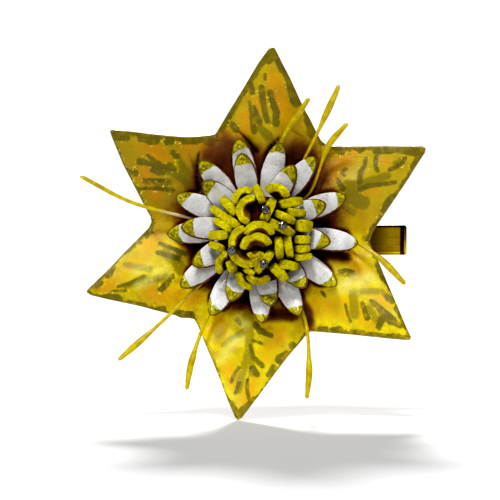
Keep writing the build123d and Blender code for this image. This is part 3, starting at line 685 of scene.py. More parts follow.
def star_paint():
    p = Paint("star_painted_leather", Coat_Weight=0.8, Coat_Roughness=0.09, Specular_IOR_Level=0.05)
    wide = p.noise(14.0, 3.0, 0.55)
    middle = p.noise(3.2, 4.0, 0.6)
    brush = p.noise(1.5, 4.0, 0.65, 0.4)
    fine = p.noise(0.5, 3.0, 0.6)
    base = p.mix(p.step(wide, 0.38, 0.66), YELLOW, OCHRE)
    # Painted light: the lower arms a brighter yellow, as if they faced the light.
    base = p.mix(p.times(p.value("lit_lower_arms"), p.step(middle, 0.3, 0.7)), base, BRIGHT)
    # Painted shade with a browner paint: the upper arms darker and more olive, here and in the orange below.
    base = p.mix(p.value("shade_and_tone"), base, srgb(152, 132, 1))
    wash = p.times(p.value("orange"), p.step(middle, 0.25, 0.68, 0.0, 0.85))
    base = p.mix(wash, base, p.mix(p.value("shade_and_tone"), ORANGE, srgb(188, 126, 1)))
    ragged = p.times_plus(brush, 1.7, -0.85)
    light_edge = p.plus(p.value("olive_light"), ragged)
    # The olive strokes darker on the upper arms too: painted shade with a browner paint.
    olive = p.mix(p.value("shade_and_tone"), OLIVE_LIGHT, srgb(112, 104, 1))
    base = p.mix(p.times(p.step(light_edge, 0.5, -0.5), 0.85), base, olive)
    tip_edge = p.plus(p.value("border"), p.times(ragged, 1.2))
    dark_field = p.math("MINIMUM", p.value("olive_dark"), tip_edge)
    dark_edge = p.plus(dark_field, p.times(ragged, 0.55))
    dark = p.step(dark_edge, 0.25, -0.25)
    olive = p.mix(p.step(middle, 0.35, 0.65), OLIVE, srgb(128, 118, 1))
    # Painted shade: the dark olive darker still on the upper arms.
    olive = p.mix(p.times(p.value("shade_and_tone"), 0.45), olive, srgb(84, 76, 1))
    base = p.mix(p.times(dark, p.step(p.noise(2.0, 3.0, 0.6), 0.3, 0.5, 0.6, 0.95)), base, olive)
    # Painted highlights: cream in the base colour where the lacquer shines.
    pale = p.times(p.value("pale"), p.step(p.noise(0.9, 4.0, 0.7), 0.35, 0.6, 0.5, 1.0))
    base = p.mix(p.times(pale, 0.55), base, srgb(244, 236, 130))
    # Cream flecks beside the strokes and borders: thick paint, partly painted glints of the lacquer.
    near = p.times(p.step(dark_edge, 1.5, 0.5), p.step(dark_edge, -0.6, 0.0))
    fleck = p.times(near, p.step(p.noise(1.0, 2.0, 0.5), 0.58, 0.68, 0.0, 0.8))
    base = p.mix(p.times(fleck, p.step(wide, 0.4, 0.6)), base, CREAM)
    # Brown paint round the middle, and painted shade round the petals; maroon where that shade is darkest.
    shade = p.times_plus(p.plus(middle, -0.5), 0.5, p.value("umber_and_shade"))
    base = p.mix(p.step(shade, 0.08, 0.62), base, UMBER)
    base = p.mix(p.step(shade, 0.5, 1.0), base, MAROON)
    # Painted shade: near-black in the darts and slits.
    base = p.mix(p.value("fold_shade"), base, srgb(26, 8, 2))
    p.set("Base Color", p.grain(base, fine, 0.5, 0.76))
    p.set("Roughness", p.step(brush, 0.3, 0.7, 0.45, 0.65))
    wrinkle = p.noise(1.7, 6.0, 0.65, 1.2, ((0.0, 0.6, 0.0), (1.0, 1.0, 2.2)))
    relief = p.times_plus(dark, 0.35, p.times(fleck, 0.5))
    normal = p.bump(wrinkle, 0.45, 0.6)
    normal = p.bump(relief, 0.18, 0.6, normal)
    normal = p.bump(p.cells(0.32), 0.05, 0.35, normal)
    p.set("Normal", normal)
    p.set("Coat Normal", normal)
    return p.mat


def cut_edge():
    p = Paint("star_cut_edge", Coat_Weight=0.35, Coat_Roughness=0.2)
    middle = p.noise(1.6, 4.0, 0.6)
    p.set("Base Color", p.tones(middle, 0.3, 0.7, (96, 86, 8), (150, 138, 30)))
    p.set("Roughness", p.step(middle, 0.3, 0.7, 0.4, 0.62))
    p.set("Normal", p.bump(p.noise(0.5, 4.0, 0.7), 0.08, 0.6))
    return p.mat


def raw_leather(name, dark, light, sheen=0.25, gloss=0.5):
    p = Paint(name, Sheen_Weight=sheen, Sheen_Roughness=0.6, Specular_IOR_Level=gloss)
    wide = p.noise(9.0, 4.0, 0.6)
    fibre = p.noise(0.5, 6.0, 0.7, 0.8)
    base = p.tones(wide, 0.3, 0.7, dark, light)
    p.set("Base Color", p.grain(base, fibre, 0.5, 0.75))
    p.set("Roughness", p.step(fibre, 0.3, 0.7, 0.78, 0.95))
    normal = p.bump(fibre, 0.1, 0.6)
    p.set("Normal", p.bump(wide, 0.3, 0.4, normal))
    return p.mat


def petal_paint():
    p = Paint("petal_painted_leather", Coat_Weight=0.3, Coat_Roughness=0.12, Specular_IOR_Level=0.12)
    wide = p.noise(6.0, 3.0, 0.55)
    brush = p.noise(1.3, 4.0, 0.6, 0.5)
    fine = p.noise(0.35, 3.0, 0.6)
    white = p.tones(wide, 0.3, 0.7, (250, 250, 251), (214, 212, 209))
    speck = p.times(p.step(p.cells(2.3), 0.13, 0.07), p.step(wide, 0.45, 0.55))
    white = p.mix(p.times(speck, 0.75), white, srgb(92, 88, 84))
    streak = p.noise(1.0, 4.0, 0.6, 0.0, ((0.0, 0.0, 0.0), (1.0, 1.0, 3.0)))
    white = p.mix(p.step(streak, 0.48, 0.7, 0.0, 0.5), white, srgb(168, 164, 154))
    # Painted shade and a painted yellow reflection of the loops, towards each petal's base.
    base = p.mix(p.step(p.value("root_shade_and_tint"), 0.2, 1.0, 0.0, 0.6), white, srgb(196, 186, 120))
    ragged = p.times_plus(brush, 0.9, -0.45)
    cap_edge = p.plus(p.value("cap"), ragged)
    cap = p.step(cap_edge, -0.15, 0.15)
    tone = p.step(p.noise(1.6, 3.0, 0.6, 1.0), 0.38, 0.62)
    paint = p.mix(tone, srgb(124, 116, 2), srgb(192, 180, 6))
    paint = p.mix(p.step(p.noise(0.8, 3.0, 0.7), 0.55, 0.62, 0.0, 0.8), paint, srgb(236, 230, 110))
    base = p.grain(base, fine, 0.44, 0.78)
    base = p.mix(cap, base, paint)
    bare_edge = p.plus(p.value("face"), p.times(ragged, 0.12))
    bare = p.step(bare_edge, 0.03, -0.03)
    skin = p.tones(brush, 0.35, 0.65, (98, 52, 34), (140, 92, 66))
    skin = p.mix(p.times(cap, 0.8), skin, srgb(110, 100, 20))
    base = p.mix(bare, base, skin)
    p.set("Base Color", base)
    rough = p.times_plus(cap, -0.2, 0.5)
    p.set("Roughness", p.times_plus(bare, 0.3, p.times_plus(fine, 0.1, rough)))
    normal = p.bump(p.noise(1.8, 4.0, 0.6), 0.3, 0.6)
    normal = p.bump(p.times(cap, p.noise(0.9, 3.0, 0.6, 1.4)), 0.45, 0.7, normal)
    normal = p.bump(p.times(bare, fine), 0.12, 0.8, normal)
    p.set("Normal", p.bump(fine, 0.04, 0.4, normal))
    return p.mat


def lace_paint():
    p = Paint("lace_suede", Sheen_Weight=0.06, Sheen_Roughness=0.5, Specular_IOR_Level=0.2)
    wide = p.noise(4.0, 3.0, 0.55)
    crumb = p.noise(0.7, 5.0, 0.7, 0.6)
    fibre = p.noise(0.22, 5.0, 0.75)
    # Painted shade: the lace's sides and lower parts darker than its top.
    face = p.step(p.times_plus(p.plus(crumb, -0.5), 0.7, p.value("outer")), 0.4, 0.85)
    top = p.tones(wide, 0.3, 0.7, (246, 232, 4), (198, 182, 2))
    side = p.tones(crumb, 0.3, 0.7, (92, 78, 4), (142, 126, 5))
    base = p.mix(face, side, top)
    crease = p.math("ABSOLUTE", p.plus(p.noise(1.5, 4.0, 0.7, 1.5), -0.5))
    pore = p.math("MAXIMUM", p.step(crumb, 0.44, 0.36), p.step(crease, 0.035, 0.01))
    base = p.mix(p.times(pore, 0.55), base, srgb(84, 70, 3))
    base = p.mix(p.step(p.noise(1.3, 3.0, 0.6, 0.8), 0.56, 0.72, 0.0, 0.5), base, srgb(252, 240, 40))
    # Painted shade: brown on the lower inside walls of the curls.
    inner_shade = p.tones(wide, 0.3, 0.7, (150, 100, 3), (92, 54, 2))
    base = p.mix(p.value("inner_shade"), base, inner_shade)
    # Painted shade: dark where the lace lies deep below the dome's face.
    base = p.mix(p.times(p.value("deep"), 0.85), base, srgb(58, 40, 3))
    base = p.grain(base, fibre, 0.5, 0.76)
    p.set("Base Color", base)
    p.set("Roughness", p.step(crumb, 0.3, 0.7, 0.7, 0.95))
    normal = p.bump(crumb, 0.3, 0.75)
    normal = p.bump(p.step(crease, 0.0, 0.06), 0.2, 0.8, normal)
    p.set("Normal", p.bump(fibre, 0.12, 0.7, normal))
    return p.mat


def stamen_paint():
    p = Paint("stamen_painted_leather", Coat_Weight=0.4, Coat_Roughness=0.15, Specular_IOR_Level=0.25)
    brush = p.noise(2.4, 4.0, 0.6, 0.6)
    fine = p.noise(0.5, 3.0, 0.6)
    base = p.tones(brush, 0.36, 0.62, (216, 192, 2), (190, 162, 2))
    olive = p.times(p.value("olive"), p.step(brush, 0.3, 0.6))
    base = p.mix(olive, base, srgb(150, 138, 4))
    base = p.mix(p.value("pale"), base, srgb(226, 214, 178))
    p.set("Base Color", base)
    p.set("Roughness", p.step(fine, 0.3, 0.7, 0.32, 0.48))
    p.set("Normal", p.bump(p.noise(1.2, 4.0, 0.6, 1.0), 0.16, 0.55))
    return p.mat


def gold_metal():
    """Plated steel. Its dark band and dark left part stand for reflections, and are paint."""
    p = Paint("gold_plated_steel", Metallic=1.0)
    cloud = p.noise(7.0, 4.0, 0.6)
    scratch = p.noise(0.5, 3.0, 0.6, 0.0, ((0.0, 0.0, 0.0), (0.06, 1.0, 1.0)))
    place = p.node("SeparateXYZ", Vector=p.coords)
    x = p.times_plus(p.plus(cloud, -0.5), 0.004, place.outputs[0])
    base = p.tones(cloud, 0.3, 0.7, (232, 200, 66), (196, 158, 26))
    base = p.mix(p.step(x, 0.0455, 0.0385, 0.0, 0.85), base, srgb(98, 68, 6))
    band_start = p.step(place.outputs[0], 0.0475, 0.0479)
    band = p.times(band_start, p.step(place.outputs[0], 0.0494, 0.0490))
    base = p.mix(p.times(band, 0.92), base, srgb(30, 12, 2))
    p.set("Base Color", base)
    p.set("Roughness", p.step(scratch, 0.3, 0.7, 0.14, 0.18))
    rim = p.step(p.math("ABSOLUTE", place.outputs[2]), 0.0040, 0.0050, 1.0, 0.0)
    p.set("Normal", p.bump(scratch, 0.001, 0.1, p.bump(rim, 0.7, 1.0)))
    return p.mat


def spring_steel():
    p = Paint("spring_wire_steel", Metallic=1.0)
    scratch = p.noise(0.4, 4.0, 0.6)
    p.set("Base Color", p.tones(scratch, 0.3, 0.7, (176, 174, 168), (120, 116, 108)))
    p.set("Roughness", p.step(scratch, 0.3, 0.7, 0.22, 0.4))
    p.set("Normal", p.bump(scratch, 0.02, 0.3))
    return p.mat


def silver_metal():
    p = Paint("silver_setting", Metallic=1.0)
    cloud = p.noise(0.8, 4.0, 0.6)
    p.set("Base Color", p.tones(cloud, 0.3, 0.7, (170, 168, 160), (92, 88, 78)))
    p.set("Roughness", p.step(cloud, 0.3, 0.7, 0.12, 0.3))
    p.set("Normal", p.bump(cloud, 0.03, 0.3))
    return p.mat


def crystal_glass():
    p = Paint("crystal_stone", Specular_IOR_Level=0.6, IOR=1.6, Coat_Weight=0.4, Coat_Roughness=0.06)
    cloud = p.cells(0.55)
    p.set("Base Color", p.tones(cloud, 0.2, 0.6, (150, 152, 156), (52, 54, 58)))
    p.set("Metallic", p.step(cloud, 0.1, 0.5, 0.75, 0.35))
    p.set("Roughness", p.step(p.noise(0.4), 0.3, 0.7, 0.1, 0.24))
    return p.mat


def floor_paint():
    p = Paint("studio_floor")
    cloud = p.noise(40.0, 2.0, 0.5)
    p.set("Base Color", p.mix(cloud, srgb(222, 222, 222), srgb(219, 219, 219)))
    p.set("Roughness", 0.9)
    return p.mat


# ---- star ---------------------------------------------------------------------
def star_triangles():
    """Corner points with heights of the flat facets that give the star its curl."""
    triangles = []
    corners = []
    middle = (0.0, 0.0, 0.0)
    for notch in STAR_NOTCHES:
        share = STAR_FLAT_R / math.hypot(*notch)
        corners.append((notch[0] * share, notch[1] * share, 0.0))
    for index, tip in enumerate(STAR_TIPS):
        right = (*STAR_NOTCHES[index], STAR_NOTCH_RISE)
        left = (*STAR_NOTCHES[index - 1], STAR_NOTCH_RISE)
        top = (*tip, STAR_TIP_RISE)
        ridge = (tip[0] * 0.5, tip[1] * 0.5, STAR_RIDGE_RISE)
        flat_right, flat_left = corners[index], corners[index - 1]
        triangles += [
            (left, top, ridge), (top, right, ridge), (right, flat_right, ridge),
            (flat_right, flat_left, ridge), (flat_left, left, ridge), (flat_right, flat_left, middle),
        ]
    return np.array(triangles)


STAR_TRIANGLES = star_triangles()


def facet_height(points):
    """Height of the faceted star at flat points: the facet that each point is most inside."""
    best = np.full(len(points), -1e9)
    height = np.zeros(len(points))
    u, v = points.T
    for a, b, c in STAR_TRIANGLES:
        area = (b[0] - a[0]) * (c[1] - a[1]) - (b[1] - a[1]) * (c[0] - a[0])
        pa = ((b[0] - u) * (c[1] - v) - (b[1] - v) * (c[0] - u)) / area
        pb = ((c[0] - u) * (a[1] - v) - (c[1] - v) * (a[0] - u)) / area
        pc = 1.0 - pa - pb
        inside = np.minimum(np.minimum(pa, pb), pc) * math.sqrt(abs(area))
        better = inside > best
        best = np.where(better, inside, best)
        height = np.where(better, pa * a[2] + pb * b[2] + pc * c[2], height)
    return height


def star_height(points):
    """The star's curl with its ridges rounded off, and the leather's own swell and darts."""
    total = facet_height(points)
    count = 1
    for radius, spokes in ((1.5, 6), (3.0, 10)):
        for spoke in range(spokes):
            angle = 2 * math.pi * spoke / spokes
            total += facet_height(points + radius * np.array([math.cos(angle), math.sin(angle)]))
            count += 1
    height = total / count
    r = np.hypot(*points.T)
    flat = np.column_stack([points, np.zeros(len(points))])
    outer = smoothstep(16.0, 30.0, r)
    height += outer * (0.55 * noise_at(flat, 13.0, 1.0) + 0.22 * noise_at(flat, 4.5, 2.0))
    height += outer * 0.07 * noise_at(flat, 1.4, 3.0)
    for u, v, along, across, turn, rise in SWELLS:
        angle = math.radians(turn)
        du, dv = points[:, 0] - u, points[:, 1] - v
        x = du * math.cos(angle) + dv * math.sin(angle)
        y = dv * math.cos(angle) - du * math.sin(angle)
        height += rise * np.exp(-(x / along) ** 2 - (y / across) ** 2)
    for start_r, end_r, depth, line in FOLDS:
        gap = segment_field(points, [(start_r, end_r, line)])
        height -= depth * smoothstep(0.5, -0.3, gap)
    return height


def half_rib(axis_point, edge_point, columns):
    """Points from an arm's axis to its edge, close together near the edge."""
    run = np.hypot(*(edge_point - axis_point))
    near = np.array([1.3, 0.9, 0.58, 0.34, 0.17, 0.06, 0.0]) * min(1.0, run / 3.4)
    near = 1.0 - near / run
    far = np.linspace(0.0, near[0], columns - len(near) + 1)[:-1]
    shares = np.concatenate([far, near])
    return axis_point + shares[:, None] * (edge_point - axis_point)


def star_sheet():
    """Flat points and faces of the star, arm by arm, with a hole in the middle."""
    points, faces = [], []
    width = 2 * HALF_COLUMNS - 1
    for index in range(len(STAR_TIPS)):
        right = resample(STAR_SIDES[2 * index], OUTER_ROWS + 1)[::-1]
        left = resample(STAR_SIDES[2 * index - 1], OUTER_ROWS + 1)
        tip = right[-1]
        middle = tip * 0.5
        rows = []
        for k in range(INNER_ROWS):
            share = HOLE_SHARE + (1.0 - HOLE_SHARE) * k / INNER_ROWS
            rows.append((left[0] * share, middle * share, right[0] * share))
        for k in range(OUTER_ROWS):
            rows.append((left[k], middle + (tip - middle) * (k / OUTER_ROWS), right[k]))
        base = len(points)
        for left_edge, axis_point, right_edge in rows:
            points.extend(half_rib(axis_point, left_edge, HALF_COLUMNS)[::-1].tolist())
            points.extend(half_rib(axis_point, right_edge, HALF_COLUMNS)[1:].tolist())
        for i in range(len(rows) - 1):
            for j in range(width - 1):
                a = base + i * width + j
                faces.append((a, a + 1, a + width + 1, a + width))
        tip_index = len(points)
        last = tip_index - width
        faces += [(last + j, last + j + 1, tip_index) for j in range(width - 1)]
        points.append(tip.tolist())
    return welded(np.array(points), faces)


def edge_gaps(points, outline):
    """Distance from each point to the cut edge, taken to six places on each of its short lengths."""
    places = 6
    loop = points[outline]
    after = np.roll(loop, -1, axis=0)
    tree = kdtree.KDTree(len(outline) * places)
    for k in range(places):
        for n, p in enumerate(loop + (after - loop) * k / places):
            tree.insert((p[0], p[1], 0.0), n * places + k)
    tree.balance()
    return np.array([tree.find((p[0], p[1], 0.0))[2] for p in points])


def edge_drop(gap, radius):
    """How far a rounded edge has dropped at a distance inside it."""
    return radius - np.sqrt(np.maximum(radius**2 - np.maximum(radius - gap, 0.0) ** 2, 0.0))


def umber_paint_and_shade(points):
    """How brown the middle of the star is: brown paint with streaks that run outwards, and painted shade round
    the petals.
    """
    r = np.hypot(*points.T)
    flat = np.column_stack([points, np.zeros(len(points))])
    streak = np.column_stack([points / r[:, None] * 14.0, r * 0.2])
    upper = smoothstep(-6.0, 14.0, points[:, 1])
    arm_angle = math.radians(86.0)
    on_arm = 0.5 + 0.5 * np.cos(6.0 * (np.arctan2(points[:, 1], points[:, 0]) - arm_angle))
    reach = 22.0 + 5.0 * upper - 7.0 * upper * on_arm
    reach += 2.0 * noise_at(flat, 12.0, 5.0) + 3.0 * noise_at(streak, 3.0, 9.0)
    umber_and_shade = 1.0 - smoothstep(0.0, 1.0, (r - reach) / (8.0 + 6.0 * upper))
    umber_and_shade = umber_and_shade * (0.7 + 0.3 * (1.0 - upper) * smoothstep(27.0, 22.0, r))
    return np.clip(np.maximum(umber_and_shade, petal_shadow(points)), 0.0, 1.0)


def star_values(points, gap):
    """What the star's paint needs to know at each point."""
    flat = np.column_stack([points, np.zeros(len(points))])
    lobes = smoothstep(-0.15, 0.45, noise_at(flat, 3.4, 6.0))
    # Painted shade along the darts and slits.
    fold_shade = np.zeros(len(points))
    for start_r, end_r, depth, line in FOLDS:
        field = segment_field(points, [(start_r, end_r, line)])
        fold_shade = np.maximum(fold_shade, smoothstep(0.22, -0.1, field) * min(1.0, depth))
    return {
        "olive_dark": segment_field(points, DARK_STROKES) - 0.18,
        "olive_light": segment_field(points, LIGHT_STROKES),
        "orange": smoothstep(2.2, -1.0, segment_field(points, ORANGE_WASHES)),
        "pale": smoothstep(2.4, -1.0, segment_field(points, PAINTED_HIGHLIGHTS)),
        "border": gap - side_band(points) * (0.7 + 0.7 * lobes),
        "umber_and_shade": umber_paint_and_shade(points),
        "lit_lower_arms": 1.0 - smoothstep(-12.0, 6.0, points[:, 1]),
        "shade_and_tone": arm_shade_and_tone(points),
        "fold_shade": fold_shade,
    }


def make_star():
    """The six-armed star as one sheet of painted leather, with a cut edge and a raw back."""
    points, faces = star_sheet()
    count = len(points)
    border = border_loops(faces)
    outline = max(border, key=len)
    hole = min(border, key=len)
    gap = edge_gaps(points, outline)
    height = star_height(points)
    front = np.column_stack([points, height + STAR_THICK - edge_drop(gap, EDGE_ROUND)])
    back = np.column_stack([points, height + edge_drop(gap, BACK_ROUND)])
    front_faces = [tuple(reversed(face)) for face in faces]
    back_faces = [tuple(i + count for i in face) for face in faces]
    edge_faces = []
    for ring in (outline, hole):
        edge_faces += [(a, b, b + count, a + count) for a, b in zip(ring, ring[1:] + ring[:1])]
    kinds = [0] * len(front_faces) + [2] * len(back_faces) + [1] * len(edge_faces)
    mats = [star_paint(), cut_edge(), raw_leather("star_raw_back", (112, 82, 42), (142, 110, 64))]
    values = {key: np.tile(numbers, 2) for key, numbers in star_values(points, gap).items()}
    make_piece(
        "star_leather", flower_to_row(np.vstack([front, back])), front_faces + back_faces + edge_faces,
        mats, ["star_base"], values=values, kinds=kinds,
    )


def arm_shade_and_tone(points):
    """Painted shade with a browner paint: how much darker and browner the yellow is on the upper arms and the
    low part of the lower left one.
    """
    u, v = points.T
    out = smoothstep(0.0, 30.0, np.hypot(u, v))
    tone = 0.55 * smoothstep(-6.0, 10.0, v)
    tone += 0.3 * smoothstep(-4.0, -16.0, u) * smoothstep(2.0, 12.0, v)
    tone += 0.12 * out * smoothstep(-30.0, -50.0, u) * smoothstep(0.0, -10.0, v)
    tone += 0.45 * smoothstep(-22.0, -34.0, u) * smoothstep(-13.0, -19.0, v)
    return np.clip(tone + 0.12 * noise_at(np.column_stack([points, 0 * u]), 9.0, 4.0), 0.0, 1.0)


def side_band(points):
    """How wide the olive border is beside the nearest side of the star."""
    nearest = np.full(len(points), 99.0)
    band = np.ones(len(points))
    for side, width in zip(STAR_SIDES, SIDE_BANDS):
        gap = segment_field(points, [(0.0, 0.0, side)])
        band = np.where(gap < nearest, width, band)
        nearest = np.minimum(gap, nearest)
    return band


def petal_shadow(points):
    """Painted shade round the petals: 1 under them, fading just outside their tips, and along
    PETAL_SHADOW_STROKES.
    """
    shade_mask = np.zeros(len(points))
    for angle, tip_r in LOWER_PETALS:
        turn = math.radians(angle)
        outward = np.array([math.cos(turn), math.sin(turn)])
        low = smoothstep(0.2, -0.4, math.sin(turn))
        field = segment_field(points, [(3.0, 4.0, [outward * 8.0, outward * (tip_r - 6.0)])])
        shade_mask = np.maximum(shade_mask, smoothstep(2.4 - 0.9 * low, -0.8, field))
    for stroke in PETAL_SHADOW_STROKES:
        shade_mask = np.maximum(shade_mask, 0.85 * smoothstep(3.0, -1.4, segment_field(points, [stroke])))
    return shade_mask


def welded(points, faces):
    """Merges points that lie on each other, and drops faces that collapse."""
    keys = {}
    index = []
    kept = []
    for p in points:
        key = (round(p[0], 4), round(p[1], 4))
        if key not in keys:
            keys[key] = len(kept)
            kept.append(p)
        index.append(keys[key])
    clean = []
    for face in faces:
        ring = []
        for i in face:
            j = index[i]
            if j not in ring:
                ring.append(j)
        if len(ring) >= 3:
            clean.append(tuple(ring))
    return np.array(kept), clean


def border_loops(faces):
    """Closed loops of the edges that only one face has."""
    edges = {}
    for face in faces:
        for a, b in zip(face, face[1:] + face[:1]):
            if (b, a) in edges:
                del edges[(b, a)]
            else:
                edges[(a, b)] = True
    follow = {a: b for a, b in edges}
    loops = []
    while follow:
        start = next(iter(follow))
        loop = [start]
        current = follow.pop(start)
        while current != start:
            loop.append(current)
            current = follow.pop(current)
        loops.append(loop)
    return loops


# ---- petals -------------------------------------------------------------------
def half_width(x, tip_r, shape):
    """Half the width of a petal at a distance from the flower's centre."""
    shoulder_x = tip_r - shape["behind"]
    if x <= shoulder_x:
        share = (x - PETAL_BASE_R) / (shoulder_x - PETAL_BASE_R)
        eased = share * (1.35 - 0.35 * share)
        return shape["base"] + (shape["shoulder"] - shape["base"]) * eased
    share = min(1.0, (x - shoulder_x) / shape["behind"])
    return shape["shoulder"] * max(0.0, 1.0 - share**2.2) ** 0.54


def make_petal(name, node, angle, tip_r, w_low, shape, mats, rng):
    """One thick petal: crowned, curled up to its tip, painted, with bare cut edges."""
    rows = 40
    stations = PETAL_BASE_R + (tip_r - 0.02 - PETAL_BASE_R) * np.sin(np.linspace(0.0, math.pi / 2, rows))
    radius = ((tip_r - PETAL_FLAT_R) ** 2 + shape["curl"] ** 2) / (2 * shape["curl"])
    cap_length = BARE_TIP_CAP if node == BARE_TIP_PETAL else rng.uniform(2.1, 3.1)
    turn = math.radians(angle)
    bare = rng.uniform(-0.05, 0.05) - 0.12 * (0.8 * math.sin(turn) + 0.6 * math.cos(turn))
    slant, bow = rng.uniform(-0.35, 0.35), rng.uniform(0.02, 0.12)
    lean, cup = rng.uniform(-0.3, 0.3), rng.uniform(0.1, 0.35)
    twist = rng.uniform(-0.05, 0.05)
    points, cap, face, root_shade_and_tint = [], [], [], []
    unit = rounded_ring(1.0, 1.0, 0.42, 4, 4)
    for x in stations:
        half = max(0.12, half_width(x, tip_r, shape))
        thick = PETAL_THICK / 2 * min(1.0, 0.55 + half / 3.0)
        reach = max(0.0, x - PETAL_FLAT_R)
        rise = radius - math.sqrt(radius**2 - reach**2)
        slope = math.atan2(reach, math.sqrt(radius**2 - reach**2))
        bend = reach / (tip_r - PETAL_FLAT_R)
        for a, b in unit:
            y = a * half
            crown = 1.2 * (1.0 - abs(a) ** 2.0) if b > 0 else 0.0
            z = b * thick + crown * (0.4 + 0.6 * bend)
            z += twist * y * bend - cup * bend * bend * (1.0 - a * a) * 0.8
            sideways = lean * bend * bend
            points.append((
                x - math.sin(slope) * z * 0.6,
                y + sideways,
                w_low + PETAL_THICK / 2 + rise + math.cos(slope) * z,
            ))
            cap.append(x - (tip_r - cap_length) + slant * y + bow * y * y + 0.25 * a**6)
            face.append(b - 0.8 - bare * a)
            # Painted shade and yellow reflection, strongest at the petal's base.
            root_shade_and_tint.append(1.0 - (x - PETAL_BASE_R) / (tip_r - PETAL_BASE_R) * 1.35)
    points = turned(np.array(points), angle)
    points[:, 2] += 0.16 * noise_at(points, 2.6, angle) + 0.3 * noise_at(points, 5.5, angle + 7.0)
    values = {"cap": cap, "face": face, "root_shade_and_tint": np.clip(root_shade_and_tint, 0.0, 1.0)}
    make_piece(
        name, flower_to_row(points), tube_faces(rows, len(unit)), mats, [node],
        values=values, levels=1,
    )


def make_petals():
    """The lower ring, then the upper one."""
    rng = random.Random(5)
    mats = [petal_paint()]
    rings = (("lower", LOWER_PETALS, LOWER_W, LOWER_SHAPE), ("upper", UPPER_PETALS, UPPER_W, UPPER_SHAPE))
    for ring, petals, w_low, shape in rings:
        for number, (angle, tip_r) in enumerate(petals, 1):
            name = f"{ring}_petal_leather_{number:02d}"
            make_petal(name, f"{ring}_petal_{number:02d}", angle, tip_r, w_low, shape, mats, rng)


# ---- sweeps: lace loops, stamens, spring --------------------------------------
def smooth_path(points, per_span):
    """Catmull-Rom curve through the points."""
    points = np.array(points, float)
    padded = np.vstack([2 * points[0] - points[1], points, 2 * points[-1] - points[-2]])
    path = []
    for k in range(1, len(padded) - 2):
        a, b, c, d = padded[k - 1], padded[k], padded[k + 1], padded[k + 2]
        for step in range(per_span):
            t = step / per_span
            spot = 2 * b + (c - a) * t + (2 * a - 5 * b + 4 * c - d) * t**2
            path.append(0.5 * (spot + (3 * b - a - 3 * c + d) * t**3))
    path.append(points[-1])
    return np.array(path)


def frames_along(path, side_hint):
    """Unit tangent, side and normal at each point of a path."""
    tangent = np.gradient(path, axis=0)
    tangent /= np.linalg.norm(tangent, axis=1)[:, None]
    hint = np.broadcast_to(np.asarray(side_hint, float), path.shape)
    side = hint - np.sum(hint * tangent, axis=1)[:, None] * tangent
    side /= np.linalg.norm(side, axis=1)[:, None]
    normal = np.cross(tangent, side)
    return tangent, side, normal


def dome_height(u, v):
    r2 = (u - DOME_CENTRE[0]) ** 2 + (v - DOME_CENTRE[1]) ** 2
    return DOME_TOP_W - DOME_SPHERE_R + math.sqrt(DOME_SPHERE_R**2 - r2)


def round_sweep(path, side_hint, radii, count, flats=None):
    """Points and faces of a round rod along a path; flats narrows it sideways, point by point."""
    if flats is None:
        flats = np.ones(len(path))
    _, side, normal = frames_along(path, side_hint)
    grid = []
    for p, s, n, r, flat in zip(path, side, normal, radii, flats):
        for angle in np.linspace(0.0, 2 * math.pi, count, endpoint=False):
            grid.append(p + r * (math.cos(angle) * s * flat + math.sin(angle) * n))
    return np.array(grid), tube_faces(len(path), count)


def arc_through(points, count):
    """Points on the circle through three points, from the first to the last."""
    (x1, y1), (x2, y2), (x3, y3) = points
    d = 2 * (x1 * (y2 - y3) + x2 * (y3 - y1) + x3 * (y1 - y2))
    a1, a2, a3 = x1**2 + y1**2, x2**2 + y2**2, x3**2 + y3**2
    cx = (a1 * (y2 - y3) + a2 * (y3 - y1) + a3 * (y1 - y2)) / d
    cy = (a1 * (x3 - x2) + a2 * (x1 - x3) + a3 * (x2 - x1)) / d
    start = math.atan2(y1 - cy, x1 - cx)
    middle = (math.atan2(y2 - cy, x2 - cx) - start) % (2 * math.pi)
    end = (math.atan2(y3 - cy, x3 - cx) - start) % (2 * math.pi)
    if middle > end:
        end -= 2 * math.pi
    radius = math.hypot(x1 - cx, y1 - cy)
    angles = [start + end * k / (count - 1) for k in range(count)]
    return [(cx + radius * math.cos(angle), cy + radius * math.sin(angle)) for angle in angles]


def lace_arch(points, width, sink):
    """Grid of an arched loop: a flat lace bent over between its two feet."""
    (u0, v0), (u1, v1) = points
    span = math.hypot(u1 - u0, v1 - v0)
    along = np.array([(u1 - u0) / span, (v1 - v0) / span])
    half = max(span / 2 - LACE_THICK / 2 + 0.4, 0.35)
    middle = np.array([(u0 + u1) / 2, (v0 + v1) / 2])
    steps = 36
    path, shares = [], []
    for k in range(steps + 1):
        angle = math.pi * (1.0 - k / steps)
        c, s = math.cos(angle), math.sin(angle)
        x = half * math.copysign(abs(c) ** 0.85, c)
        u, v = middle + along * x
        top = dome_height(u, v) - LACE_THICK / 2 - sink
        path.append((u, v, LOOP_W - 0.1 + (top - LOOP_W + 0.1) * abs(s) ** 0.38))
        shares.append(abs(c))
    path = np.array(path)
    _, side, normal = frames_along(path, (-along[1], along[0], 0.0))
    ring = rounded_ring(width / 2, LACE_THICK / 2, 0.7, 3, 4)
    grid = []
    for p, s, n, share in zip(path, side, normal, shares):
        narrow = 1.0 - 0.22 * share**3
        grid.append(p + ring[:, :1] * narrow * s + ring[:, 1:] * n)
    outer = np.tile(-ring[:, 1] / (LACE_THICK / 2), len(path))
    if np.dot(normal[steps // 2], (0, 0, 1)) > 0:
        outer = -outer
    return np.vstack(grid), len(path), len(ring), outer, np.clip(-outer, 0.0, 1.0)


